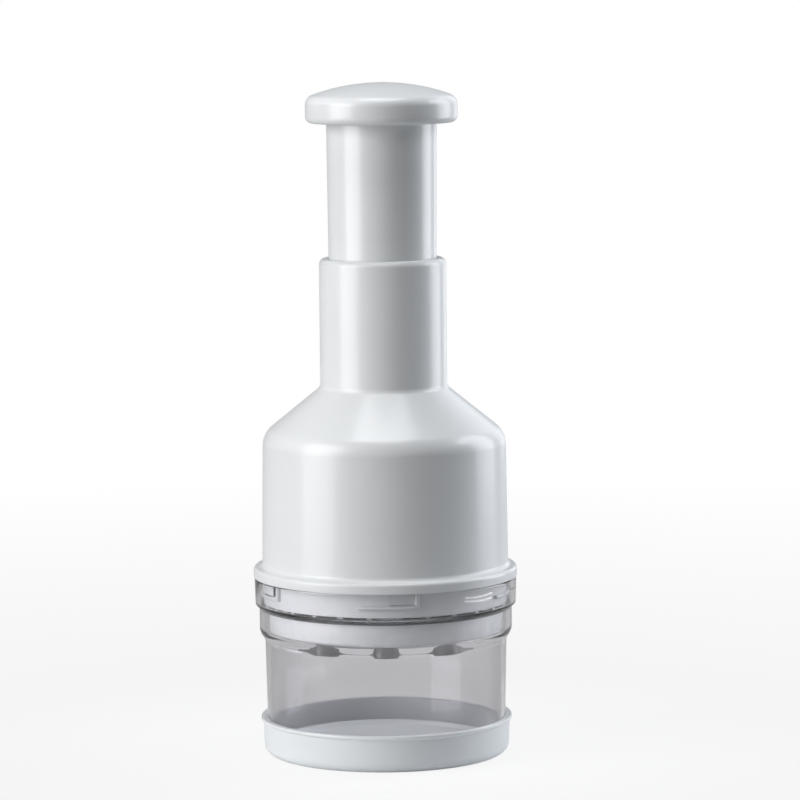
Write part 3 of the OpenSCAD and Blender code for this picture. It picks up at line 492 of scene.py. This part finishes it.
housingPlastic = mouldedPlastic("housing plastic", whiteTone)
knobPlastic = mouldedPlastic("knob plastic", whiteTone, scuffs=0.5)
tubePlastic = mouldedPlastic("tube plastic", whiteTone, roughness=0.28, scuffs=0.6)
basePlastic = mouldedPlastic("base plastic", whiteTone, lowScuff=3 * mm, scuffs=0.35)
wiperPlastic = mouldedPlastic("wiper plastic", whiteTone, roughness=0.26)
ringPlastic = mouldedPlastic("ring plastic", whiteTone, roughness=0.28)
innerPlastic = mouldedPlastic("inner plastic", innerTone, roughness=0.42, coat=0.0)
carrierPlastic = mouldedPlastic("carrier plastic", innerTone, roughness=0.4, coat=0.0)
crownPlastic = mouldedPlastic("crown plastic", crownTone, roughness=0.35, coat=0.0)
bushPlastic = mouldedPlastic("bush plastic", bushTone, roughness=0.34, coat=0.0)
jarPlastic = clearPlastic("jar plastic", jarTint, jarEdgeTintAndShade)
bladeSteel = steel("blade steel", 0.34, 0.34, 900, "ground")
shaftSteel = steel("shaft steel", 0.6, 0.2, 1400, "drawn")
springSteel = steel("spring steel", 0.5, 0.28, 900, "ground")
plainSteel = steel("plain steel", 0.58, 0.25, 1100, "drawn")
stopRubber = rubber("stop rubber")
print("materials made")


# knob

knobR, knobLow, knobTop = extent("knob")
tubeFacts = {
    "r": 17.4 * mm, "topR": 17.95 * mm, "wall": 2 * mm, "lip": 2.4 * mm, "chamfer": 0.6 * mm,
    "socket": 3.5 * mm, "play": 0.03 * mm,     # depth and play of the groove in the knob
    "roundSteps": 4,
}
knobFacts = {
    "boss": 12 * mm,         # length of the boss under the cap
    "bossR": 7.5 * mm,
    "side": 8.25 * mm,       # height of the side up to the dome
    "domeSteps": 24,
    "upperEdge": 3.4 * mm,
    "lowerEdge": 2.2 * mm,
    "hollow": 4 * mm,
    "hollowEdge": 0.6 * mm,
    "wall": 2 * mm,
    "rim": 2.6 * mm,         # wall between the hollow and the side
    "ribs": 12,
    "ribThick": 1.2 * mm,
    "ribOver": 0.5 * mm,     # how far a rib reaches into the roof of the hollow
    "roundSteps": 8,
}
capLow = knobLow + knobFacts["boss"]
domeFoot = capLow + knobFacts["side"]
domeRise = knobTop - domeFoot
domeR = (knobR ** 2 + domeRise ** 2) / (2 * domeRise)


def domePoints(count):
    # the foot of the dome is rounded off, so the two points next to it are left out
    lastAngle = asin(knobR / domeR)
    yield knobR, domeFoot, knobFacts["upperEdge"]
    for k in range(count - 3, -1, -1):
        angle = lastAngle * k / count
        yield domeR * sin(angle), knobTop - domeR * (1 - cos(angle)), 0


def makeKnob():
    f = knobFacts
    hollowOut = knobR - f["rim"]
    roof = capLow + f["hollow"]
    grooveIn = tubeFacts["r"] - tubeFacts["wall"] - tubeFacts["play"]
    grooveOut = tubeFacts["topR"] + tubeFacts["play"]
    grooveTop = capLow + tubeFacts["socket"] + tubeFacts["play"]
    hollowIn = grooveOut + f["wall"]
    cap = lathed("cap", [
        (0, knobLow, 0), (f["bossR"], knobLow, roundEdge), (f["bossR"], capLow, softEdge),
        (grooveIn, capLow, 0), (grooveIn, grooveTop, 0), (grooveOut, grooveTop, 0), (grooveOut, capLow, 0),
        (hollowIn, capLow, roundEdge), (hollowIn, roof, f["hollowEdge"]),
        (hollowOut, roof, f["hollowEdge"]), (hollowOut, capLow, softEdge),
        (knobR, capLow, f["lowerEdge"]), *domePoints(f["domeSteps"])], f["roundSteps"])
    rib = box("rib", (hollowIn - f["wall"] / 2, -f["ribThick"] / 2, capLow + f["lowerEdge"]),
              (hollowOut + f["rim"] / 2, f["ribThick"] / 2, roof + f["ribOver"]), ribEdge)
    return joined("knob_cap", [cap] + around(rib, f["ribs"]))


ready(makeKnob(), "plunger", knobPlastic, "knob_plastic", "knob")


# plunger tube

lipR, tubeLow, tubeTop = extent("plunger_tube")


def makeTube():
    f = tubeFacts
    inner = f["r"] - f["wall"]
    lipTop = tubeLow + f["lip"]
    return lathed("plunger_sleeve", [
        (inner, tubeLow, softEdge), (lipR - f["chamfer"], tubeLow, 0),
        (lipR, tubeLow + f["chamfer"], fineEdge), (lipR, lipTop, fineEdge), (f["r"], lipTop, fineEdge),
        (f["topR"], tubeTop - f["socket"], 0), (f["topR"], tubeTop, fineEdge),
        (inner, tubeTop, fineEdge)], f["roundSteps"])


ready(makeTube(), "plunger", tubePlastic, "tube_plastic", "plunger_tube")


# housing: bell, neck, flange, skirt, catches and screw bosses

flangeR, skirtLow, neckTop = extent("housing")
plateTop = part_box("stop_ring")[0][2]
housingFacts = {
    "bellR": 40.35 * mm, "draft": 0.55 * mm, "wall": 2.15 * mm,
    "shoulderAngle": 39, "shoulderRound": 7.5 * mm, "shoulderRise": 7 * mm,
    "neckR": 20.75 * mm, "neckFoot": 2.4 * mm, "neckRim": 2.1 * mm,
    "bore": 18.2 * mm, "cavity": 19.2 * mm, "cavityFoot": 1 * mm, "mouth": 0.4 * mm, "lipPlay": 0.06 * mm,
    "flangeLow": 58.6 * mm, "flangeThick": 3.45 * mm,
    "flangeFoot": 1.6 * mm, "flangeEdge": 1.15 * mm, "flangeUnder": 0.25 * mm,
    "skirtR": 40 * mm, "root": 0.6 * mm,     # depth to which catches and stops sink into the skirt
    "catches": 5, "catchR": 41.1 * mm, "catchThick": 1.2 * mm, "catchSpan": 27, "catchLow": 53.4 * mm,
    "catchStart": 14.4, "catchSteps": 16, "catchEdge": 0.35 * mm,
    "stopSpan": 1.8, "stopSteps": 3, "stopIn": 0.05 * mm, "stopUp": 0.1 * mm, "stopOver": 0.5 * mm,
    "grooveLow": 53.3 * mm, "grooveHigh": 54.9 * mm, "grooveDepth": 0.7 * mm,
    "bosses": 3, "bossRing": 28.95 * mm, "bossR": 3.6 * mm, "bossLong": 16 * mm, "bossTurn": 20,
    "bossFaces": 48, "bossEnd": 0.7,     # how deep under the shoulder a boss ends, in walls
    "roundSteps": 12,
}


def shoulderPoints():
    # where the shoulder's slope meets the bell and the neck, outside and inside
    f = housingFacts
    slope = radians(f["shoulderAngle"])
    topR = f["bellR"] - f["draft"]
    outerZ = plateTop + f["shoulderRise"]
    neckZ = outerZ + (topR - f["neckR"]) * tan(slope)
    innerR = topR - f["wall"]
    innerZ = outerZ - f["wall"] / cos(slope) + f["wall"] * tan(slope)
    cavityZ = innerZ + (innerR - f["cavity"]) * tan(slope)
    return (topR, outerZ), (f["neckR"], neckZ), (innerR, innerZ), (f["cavity"], cavityZ)


def makeShell():
    f = housingFacts
    bellEnd, neckStart, innerEnd, cavityStart = shoulderPoints()
    flangeTop = f["flangeLow"] + f["flangeThick"]
    skirtIn = f["bellR"] - f["wall"]
    grooveR = skirtIn + f["grooveDepth"]
    stopZ = tubeLow + tubeFacts["lip"] + f["lipPlay"]
    return lathed("shell", [
        (f["skirtR"], skirtLow, softEdge), (f["skirtR"], f["flangeLow"], fineEdge),
        (flangeR, f["flangeLow"], f["flangeUnder"]), (flangeR, flangeTop, f["flangeEdge"]),
        (f["bellR"], flangeTop, f["flangeFoot"]), (*bellEnd, f["shoulderRound"]),
        (*neckStart, f["neckFoot"]), (f["neckR"], neckTop, f["neckRim"]),
        (f["bore"] + f["mouth"], neckTop, 0), (f["bore"], neckTop - f["mouth"], crispEdge),
        (f["bore"], stopZ, crispEdge), (f["cavity"], stopZ, crispEdge),
        (*cavityStart, f["cavityFoot"]), (*innerEnd, f["shoulderRound"] - f["wall"]),
        (skirtIn, f["grooveHigh"], 0), (grooveR, f["grooveHigh"], crispEdge),
        (grooveR, f["grooveLow"], crispEdge), (skirtIn, f["grooveLow"], 0),
        (skirtIn, skirtLow, softEdge)], f["roundSteps"])


def makeCatch(stop):
    # a bayonet catch, and the stop at its end from catch to flange; stop is an angle in degrees
    f = housingFacts
    root = f["skirtR"] - f["root"]
    catch = ringBlock("catch", (root, f["catchR"]), (f["catchLow"], f["catchLow"] + f["catchThick"]),
                      f["catchSpan"], stop - f["catchSpan"] / 2, f["catchSteps"], f["catchEdge"])
    end = ringBlock("stop", (root, f["catchR"] - f["stopIn"]),
                    (f["catchLow"] + f["stopUp"], f["flangeLow"] + f["stopOver"]),
                    f["stopSpan"], stop, f["stopSteps"], softEdge)
    return [catch, end]


def makeBoss(angle):
    # a boss for a screw of the guide plate, which ends in the slope of the shoulder's wall
    f = housingFacts
    slope = radians(f["shoulderAngle"])
    topR, outerZ = shoulderPoints()[0]
    x, y = f["bossRing"] * cos(angle), f["bossRing"] * sin(angle)
    deselectAll()
    bpy.ops.mesh.primitive_cylinder_add(vertices=f["bossFaces"], radius=f["bossR"], depth=f["bossLong"],
                                        location=(x, y, plateTop + f["bossLong"] / 2))
    boss = bpy.context.object
    editMode(boss)
    end = outerZ + (topR - f["bossRing"]) * tan(slope) - f["wall"] * f["bossEnd"]
    inward = Vector((-cos(angle), -sin(angle), 0))
    normal = (Vector((0, 0, 1)) * cos(slope) - inward * sin(slope)).normalized()
    bpy.ops.mesh.select_all(action="SELECT")
    bpy.ops.mesh.bisect(plane_co=(x, y, end), plane_no=normal, clear_outer=True, use_fill=True)
    objectMode()
    finishMesh(boss)
    return boss


def makeHousing():
    f = housingFacts
    parts = [makeShell()]
    for k in range(f["catches"]):
        parts.extend(makeCatch(f["catchStart"] + 360 * k / f["catches"]))
    for k in range(f["bosses"]):
        parts.append(makeBoss(radians(f["bossTurn"] + 360 * k / f["bosses"])))
    return joined("bell_housing", parts)


ready(makeHousing(), "bell", housingPlastic, "housing_plastic", "housing")
print("knob, tube and housing made")


# jar

collarR, jarLow, collarTop = extent("jar")
jarFacts = {
    "r": 39.65 * mm, "footR": 38.95 * mm, "wall": 1.6 * mm,
    "waist": 37.9 * mm, "waistRound": 3 * mm, "bandLow": 40.8 * mm, "bandR": 41.45 * mm,
    "bandRound": 3.5 * mm, "collarLow": 49.2 * mm, "collarTaper": 0.25 * mm, "collarFoot": 0.6 * mm,
    "collarEdge": 0.5 * mm, "innerEdge": 0.5 * mm,
    "stepHalf": 0.5 * mm,     # half the height of the slope from band to collar
    "lugSpan": 11, "lugHeight": 3.4 * mm, "lugLow": 54.9 * mm, "lugMiddle": 7.4, "lugIn": 40.3 * mm,
    "lugSteps": 8, "roundSteps": 8,
}


def makeJar():
    f = jarFacts
    half = f["wall"] / 2
    collarIn = collarR - f["wall"]
    bandIn = f["bandR"] - f["wall"]
    shelf = f["collarLow"] + half
    shell = lathed("jar_shell", [
        (f["footR"] - f["wall"], jarLow, softEdge), (f["footR"], jarLow, softEdge),
        (f["r"], f["waist"], f["waistRound"]), (f["bandR"], f["bandLow"], f["bandRound"]),
        (f["bandR"], f["collarLow"] - f["stepHalf"], softEdge),
        (collarR - f["collarTaper"], f["collarLow"] + f["stepHalf"], f["collarFoot"]),
        (collarR, collarTop, f["collarEdge"]), (collarIn, collarTop, softEdge),
        (collarIn, shelf, f["innerEdge"]), (bandIn, shelf, f["innerEdge"]),
        (bandIn, f["bandLow"] + half, f["bandRound"] - f["wall"]),
        (f["r"] - f["wall"], f["waist"] + half, f["waistRound"] + f["wall"])], f["roundSteps"])
    lug = ringBlock("lug", (f["lugIn"], collarIn + half), (f["lugLow"], f["lugLow"] + f["lugHeight"]),
                    f["lugSpan"], f["lugMiddle"], f["lugSteps"], fineEdge)
    # the lugs are one body with the wall, so that light passes from one into the other
    for one in around(lug, housingFacts["catches"]):
        applyModifier(shell, "BOOLEAN", object=one, operation="UNION", solver="EXACT")
        bpy.data.objects.remove(one)
    finishMesh(shell)
    return joined("clear_jar", [shell])


ready(makeJar(), "jar", jarPlastic, "jar_plastic", "jar")


# base cup

cupR, cupLow, cupTop = extent("base_cup")
baseFacts = {
    "footR": 40.2 * mm, "footRound": 3.2 * mm,
    "lip": 0.7 * mm, "lipHeight": 1 * mm, "lipBevel": 0.4 * mm, "lipOuter": 0.35 * mm, "lipInner": 0.27 * mm,
    "seat": 2.6 * mm, "boardR": 37 * mm, "boardTop": 6 * mm, "boardEdge": 0.8 * mm, "recess": 1.3 * mm,
    "recessR": 34.3 * mm, "rimR": 34.8 * mm, "hollow": 2.2 * mm, "hollowR": 34.8 * mm,
    "jarAtLip": 39.14 * mm, "jarPlay": 0.2 * mm,
    "ribs": 8, "ribThick": 1.4 * mm, "ribStart": 5.4 * mm, "ribRise": 0.9 * mm, "ribOver": 0.5 * mm,
    "roundSteps": 8,
}


def makeBase():
    f = baseFacts
    lipLow = cupTop - f["lipHeight"]
    wallTop = cupR - f["lip"]
    dish = f["boardTop"] - f["recess"]
    cup = lathed("cup", [
        (0, f["hollow"], 0), (f["hollowR"], f["hollow"], roundEdge), (f["hollowR"], cupLow, softEdge),
        (f["footR"], cupLow, f["footRound"]), (wallTop, lipLow - f["lipBevel"], fineEdge),
        (cupR, lipLow, softEdge), (cupR, cupTop, f["lipOuter"]),
        (f["jarAtLip"] + f["jarPlay"], cupTop, f["lipInner"]),
        (jarFacts["footR"] + f["jarPlay"], f["seat"], softEdge), (f["boardR"], f["seat"], softEdge),
        (f["boardR"], f["boardTop"], f["boardEdge"]), (f["rimR"], f["boardTop"], fineEdge),
        (f["recessR"], dish, softEdge), (0, dish, 0)], f["roundSteps"])
    rib = box("foot_rib", (f["ribStart"], -f["ribThick"] / 2, f["ribRise"]),
              (f["hollowR"] + f["ribOver"], f["ribThick"] / 2, f["hollow"] + f["ribOver"]), ribEdge)
    return joined("base_stand", [cup] + around(rib, f["ribs"]))


ready(makeBase(), "base", basePlastic, "base_plastic", "base_cup")
print("jar and base made")


# blade strip

bladeFacts = {
    "reach": 33.2 * mm, "thick": 0.7 * mm, "pitch": 19.123 * mm, "bend": 3.786 * mm,
    "bendsASide": 2,      # bends on each side of the middle one
    "edge": 1.8 * mm, "edgeThick": 0.1 * mm, "bendSteps": 20, "sharp": 20,
}
bladeLow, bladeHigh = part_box("blade_strip")[0][2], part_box("blade_strip")[1][2]


def zigzagStops():
    # bend centres with the way round (1 anticlockwise) and radius; the ends have radius 0
    f = bladeFacts
    last = f["bendsASide"]
    ring = f["reach"] - f["bend"] - f["thick"] / 2
    endX = (last + 1) * f["pitch"] / 2
    endY = sqrt(f["reach"] ** 2 - endX ** 2) - f["thick"] - f["bend"]
    stops = [((-endX, endY), 0, 0)]
    for k in range(-last, last + 1):
        x = k * f["pitch"] / 2
        side = -1 if k % 2 == 0 else 1
        stops.append(((x, side * sqrt(ring ** 2 - x ** 2)), -side, f["bend"]))
    stops.append(((endX, endY), 0, 0))
    return stops


def legDirection(first, second):
    (ax, ay), aWay, aR = first
    (bx, by), bWay, bR = second
    return atan2(by - ay, bx - ax) + asin((aWay * aR - bWay * bR) / hypot(bx - ax, by - ay))


def onBend(stop, direction):
    (x, y), way, radius = stop
    return x + way * radius * sin(direction), y - way * radius * cos(direction), bladeLow


def makeBlade():
    f = bladeFacts
    stops = zigzagStops()
    directions = [legDirection(a, b) for a, b in zip(stops, stops[1:])]
    here = (*stops[0][0], bladeLow)
    piece = startPoint("zigzag", *here)
    for k, stop in enumerate(stops[1:], 1):
        here = drawTo(here, onBend(stop, directions[k - 1]))
        if stop[1]:
            sweep = (directions[k] - directions[k - 1] + pi) % (2 * pi) - pi
            for step in range(1, f["bendSteps"] + 1):
                here = drawTo(here, onBend(stop, directions[k - 1] + sweep * step / f["bendSteps"]))
    bpy.ops.mesh.select_all(action="SELECT")
    for rise in (f["edge"], bladeHigh - bladeLow - f["edge"]):
        bpy.ops.mesh.extrude_region_move(TRANSFORM_OT_translate={"value": (0, 0, rise)})
    objectMode()
    # the strip has its full thickness down to the ground edge, and thins out along it
    full = piece.vertex_groups.new(name="full")
    full.add([v.index for v in piece.data.vertices if v.co.z > bladeLow + f["edge"] / 2], 1.0, "REPLACE")
    applyModifier(piece, "SOLIDIFY", thickness=f["thick"], offset=0, vertex_group="full",
                  thickness_vertex_group=f["edgeThick"] / f["thick"], use_even_offset=True)
    finishMesh(piece, f["sharp"])
    return joined("zigzag_blade", [piece])


ready(makeBlade(), "rotor", bladeSteel, "blade_steel", "blade_strip")


# return spring

springFacts = {
    "wire": 0.7 * mm, "coilR": 10.6 * mm, "turns": 14, "steps": 40, "wireFaces": 14,
    "dead": 3,             # rise of the closed turn at each end, in wire radii
    "endNear": 1.1,        # a wire's open end lies this near to its coil's end, in wire radii
    "same": 0.005 * mm, "sharp": 50,
}
springLow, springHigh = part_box("return_spring")[0][2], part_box("return_spring")[1][2]


def coilStretch(low, rise, turns):
    f = springFacts
    deselectAll()
    bpy.ops.mesh.primitive_circle_add(vertices=f["wireFaces"], radius=f["wire"],
                                      location=(f["coilR"], 0, low), rotation=(pi / 2, 0, 0))
    piece = bpy.context.object
    applyPlace()
    applyModifier(piece, "SCREW", angle=2 * pi, screw_offset=rise / turns, iterations=turns,
                  steps=f["steps"], render_steps=f["steps"], axis="Z", use_smooth_shade=True)
    return piece


def makeSpring():
    f = springFacts
    deadRise = f["dead"] * f["wire"]
    low = springLow + f["wire"]
    high = springHigh - f["wire"]
    piece = joined("coil", [
        coilStretch(low, deadRise, 1),
        coilStretch(low + deadRise, high - low - 2 * deadRise, f["turns"] - 2),
        coilStretch(high - deadRise, deadRise, 1)])
    editMode(piece)
    bpy.ops.mesh.select_all(action="SELECT")
    bpy.ops.mesh.remove_doubles(threshold=f["same"])
    near = f["endNear"] * f["wire"]
    for end in (low, high):
        selectWhere(piece, lambda e: e.is_boundary
                    and abs((e.verts[0].co.z + e.verts[1].co.z) / 2 - end) < near, "EDGE")
        bpy.ops.mesh.edge_face_add()
    finishMesh(piece, f["sharp"])
    return joined("coil_spring", [piece])


spring = ready(makeSpring(), "bell", springSteel, "spring_steel", "return_spring")
stroke = [j for j in frame["record"]["behaviour"]["joints"] if j["name"] == "plunger_slide"][0]["range_m"][1]
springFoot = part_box("spring_washer")[1][2]
1 - stroke / (springHigh - springFoot)
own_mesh(spring)
print("blade and spring made")


# the other moulded and turned pieces: the solid's own shape with softened edges

softFacts = {"same": 0.002 * mm, "flat": 0.5, "sharp": 32}     # the last two in degrees


def softened(node, name, width):
    f = softFacts
    source = frame["nodes"][node]
    deselectAll()
    source.hide_viewport = False
    piece = source.copy()
    piece.data = source.data.copy()
    piece.parent = None
    bpy.context.collection.objects.link(piece)
    piece.name = name
    piece.data.name = name
    for key in list(piece.keys()):
        del piece[key]
    piece.matrix_world = Matrix.Identity(4)
    editMode(piece)
    bpy.ops.mesh.select_all(action="SELECT")
    bpy.ops.mesh.remove_doubles(threshold=f["same"])
    bpy.ops.mesh.dissolve_limited(angle_limit=radians(f["flat"]))
    objectMode()
    applyModifier(piece, "BEVEL", width=width, segments=meshFacts["bevelSteps"], limit_method="ANGLE",
                  angle_limit=radians(f["sharp"]), use_clamp_overlap=True, harden_normals=False)
    pick(piece)
    bpy.ops.object.shade_smooth_by_angle(angle=radians(f["sharp"]))
    return piece


softenedPieces = [
    # node, name, body, material, slot, width of the softened edge
    ("wiper", "wiper_disc", "wiper", wiperPlastic, "wiper_plastic", 0.2 * mm),
    ("retaining_ring", "snap_ring", "bell", ringPlastic, "ring_plastic", 0.12 * mm),
    ("guide_plate", "shaft_guide", "bell", innerPlastic, "inner_plastic", 0.2 * mm),
    ("fixed_crown", "upper_crown", "bell", crownPlastic, "crown_plastic", 0.08 * mm),
    ("shaft_bush", "bush", "bell", bushPlastic, "bush_plastic", 0.1 * mm),
    ("guide_screws", "screws", "bell", plainSteel, "plain_steel", 0.12 * mm),
    ("stop_ring", "stop_cushion", "bell", stopRubber, "stop_rubber", 0.25 * mm),
    ("spring_washer", "washer", "bell", plainSteel, "plain_steel", 0.1 * mm),
    ("shaft", "push_shaft", "plunger", shaftSteel, "shaft_steel", 0.1 * mm),
    ("knob_pin", "upper_pin", "plunger", plainSteel, "plain_steel", 0.15 * mm),
    ("crown_pin", "lower_pin", "plunger", plainSteel, "plain_steel", 0.15 * mm),
    ("push_crown", "pushing_crown", "plunger", crownPlastic, "crown_plastic", 0.08 * mm),
    ("rotor_cap", "turning_crown", "rotor", crownPlastic, "crown_plastic", 0.08 * mm),
    ("blade_carrier", "blade_holder", "rotor", carrierPlastic, "carrier_plastic", 0.15 * mm),
    ("blade_rivets", "rivets", "rotor", plainSteel, "plain_steel", 0.12 * mm),
]
for node, name, body, material, slot, width in softenedPieces:
    ready(softened(node, name, width), body, material, slot, node)
print("inner pieces made")


# floor, light and camera

stageFacts = {
    "floorR": 6.0, "floorFaces": 96, "floorRough": 0.6, "floorSpecular": 0.2,
    # the floor's tone, which bounces light onto the object: near it and far off, and the radii between
    "nearTone": 0.72, "farTone": 0.3, "coolTone": -0.03, "toneRange": (0.05, 0.16),
    # how white the floor shows, near the object and far off, and the radii between
    "nearGlow": 0.86, "farGlow": 1.0, "glowRange": (0.1, 0.7),
    # what shiny faces see of the white floor and world, and what rays through the jar bring back
    "floorGloss": 0.35, "worldGloss": 0.2, "insideDim": 0.3,
    "worldDim": 0.005, "worldTone": (0.86, 0.94, 1.0, 1),     # the world's own light on matt faces
}


def seenThroughJar(nodes, gloss):
    # how bright a ray through the jar sees the stage: 1 straight from the camera, and less when a matt
    # or shiny face sent the ray; gloss is the share left to a shiny one
    matt = nodes.ramp(nodes.ray("Diffuse Depth"), 0, 1, 1, stageFacts["insideDim"])
    shiny = nodes.ramp(nodes.ray("Glossy Depth"), 0, 1, 1, gloss)
    return nodes.ray("Is Transmission Ray") * matt * shiny


def makeFloor():
    f = stageFacts
    deselectAll()
    bpy.ops.mesh.primitive_circle_add(vertices=f["floorFaces"], radius=f["floorR"], fill_type="NGON")
    floor = bpy.context.object
    floor.name = "floor"
    finish = Finish("floor")
    away = finish.node("ShaderNodeVectorMath", {"operation": "LENGTH"}, {0: finish.place}, "Value")
    tone = finish.blend(finish.ramp(away, *f["toneRange"]),
                        grey(f["nearTone"], f["coolTone"]), grey(f["farTone"]))
    finish.shade(BaseColor=tone, Roughness=f["floorRough"], SpecularIORLevel=f["floorSpecular"])
    glow = finish.node("ShaderNodeEmission", sockets={"Color": grey(1.0), "Strength": 1.0})
    rays = (finish.ray("Is Camera Ray") + seenThroughJar(finish, f["floorGloss"])
            + finish.ray("Is Glossy Ray") * f["floorGloss"])
    whiteness = finish.ramp(away, *f["glowRange"], f["nearGlow"], f["farGlow"])
    finish.mixWith(finish.ramp(rays, 0, 1) * whiteness, glow)
    floor.data.materials.append(finish.material)


def makeWorld():
    f = stageFacts
    world = bpy.data.worlds.new("studio")
    bpy.context.scene.world = world
    world.use_nodes = True
    nodes = Nodes(world.node_tree)
    background = nodes.tree.nodes["Background"]
    # each kind of ray sees its own strength: matt faces are lit by the dim one, the others only show it
    strength = nodes.ray("Is Diffuse Ray") * f["worldDim"]
    for level in (nodes.ray("Is Glossy Ray") * f["worldGloss"], nodes.ray("Is Camera Ray"),
                  seenThroughJar(nodes, f["worldGloss"])):
        strength = strength.larger(level)
    nodes.feed(background.inputs["Strength"], strength)
    # the dim light is a little blue, and what is seen of the world is white
    nodes.feed(background.inputs["Color"],
               nodes.blend(nodes.ray("Is Diffuse Ray"), grey(1.0), f["worldTone"]))


lampFacts = [
    # name, azimuth from the front towards +X, elevation, distance, height of its aim, width, height,
    # power, colour
    ("key", -64, 16, 0.9, 0.11, 0.6, 0.9, 8.8, (1.0, 0.985, 0.98)),
    ("fill", 110, 14, 0.9, 0.11, 0.5, 1.1, 7.8, (0.93, 0.955, 1.0)),
    ("rear", 150, 14, 0.9, 0.11, 0.35, 1.1, 1.6, (0.93, 0.955, 1.0)),
    ("top", -20, 86, 0.9, 0.11, 0.5, 0.5, 4.0, (0.98, 0.99, 1.0)),
    ("window", 88, 34, 0.8, 0.11, 0.05, 0.1, 0.3, (1.0, 1.0, 1.0)),
    # two low strips, whose reflections lie along the jar's collar
    ("lowStrip", 84, 0, 0.25, 0.0145, 0.145, 0.003, 0.008, (1.0, 1.0, 1.0)),
    ("highStrip", 84, 0, 0.25, 0.0205, 0.145, 0.0026, 0.0075, (1.0, 1.0, 1.0)),
]


def makeLamps():
    for name, azimuth, elevation, distance, aim, width, height, power, colour in lampFacts:
        a, e = radians(azimuth), radians(elevation)
        away = Vector((sin(a) * cos(e), -cos(a) * cos(e), sin(e)))
        data = bpy.data.lights.new(name, "AREA")
        data.shape = "RECTANGLE"
        data.size = width
        data.size_y = height
        data.energy = power
        data.color = colour
        lamp = bpy.data.objects.new(name, data)
        bpy.context.collection.objects.link(lamp)
        lamp.location = Vector((0, 0, aim)) + away * distance
        lamp.rotation_euler = (-away).to_track_quat("-Z", "Y").to_euler()


cameraFacts = {
    "away": 1.377, "height": 0.2683, "aim": 0.110,
    "pixelsAMetre": 3056.0, "imageWide": 800, "sensor": 36.0,
    "aimPixel": (384.0, 419.18), "roll": -0.009, "clip": 50,
}


def makeCamera():
    f = cameraFacts
    data = bpy.data.cameras.new("camera")
    camera = bpy.data.objects.new("camera", data)
    bpy.context.collection.objects.link(camera)
    drop = f["height"] - f["aim"]
    distance = hypot(f["away"], drop)
    data.sensor_width = f["sensor"]
    data.lens = f["pixelsAMetre"] * distance * f["sensor"] / f["imageWide"]
    middle = f["imageWide"] / 2
    data.shift_x = (middle - f["aimPixel"][0]) / f["imageWide"]
    data.shift_y = (f["aimPixel"][1] - middle) / f["imageWide"]
    camera.location = (0, -f["away"], f["height"])
    tilt = Matrix.Rotation(pi / 2 - atan2(drop, f["away"]), 4, "X")
    camera.rotation_euler = (tilt @ Matrix.Rotation(f["roll"], 4, "Z")).to_euler()
    data.clip_end = f["clip"]
    bpy.context.scene.camera = camera


makeFloor()
makeWorld()
makeLamps()
makeCamera()
bpy.context.scene.view_settings.view_transform = "Standard"
print("stage made")

objectMode()
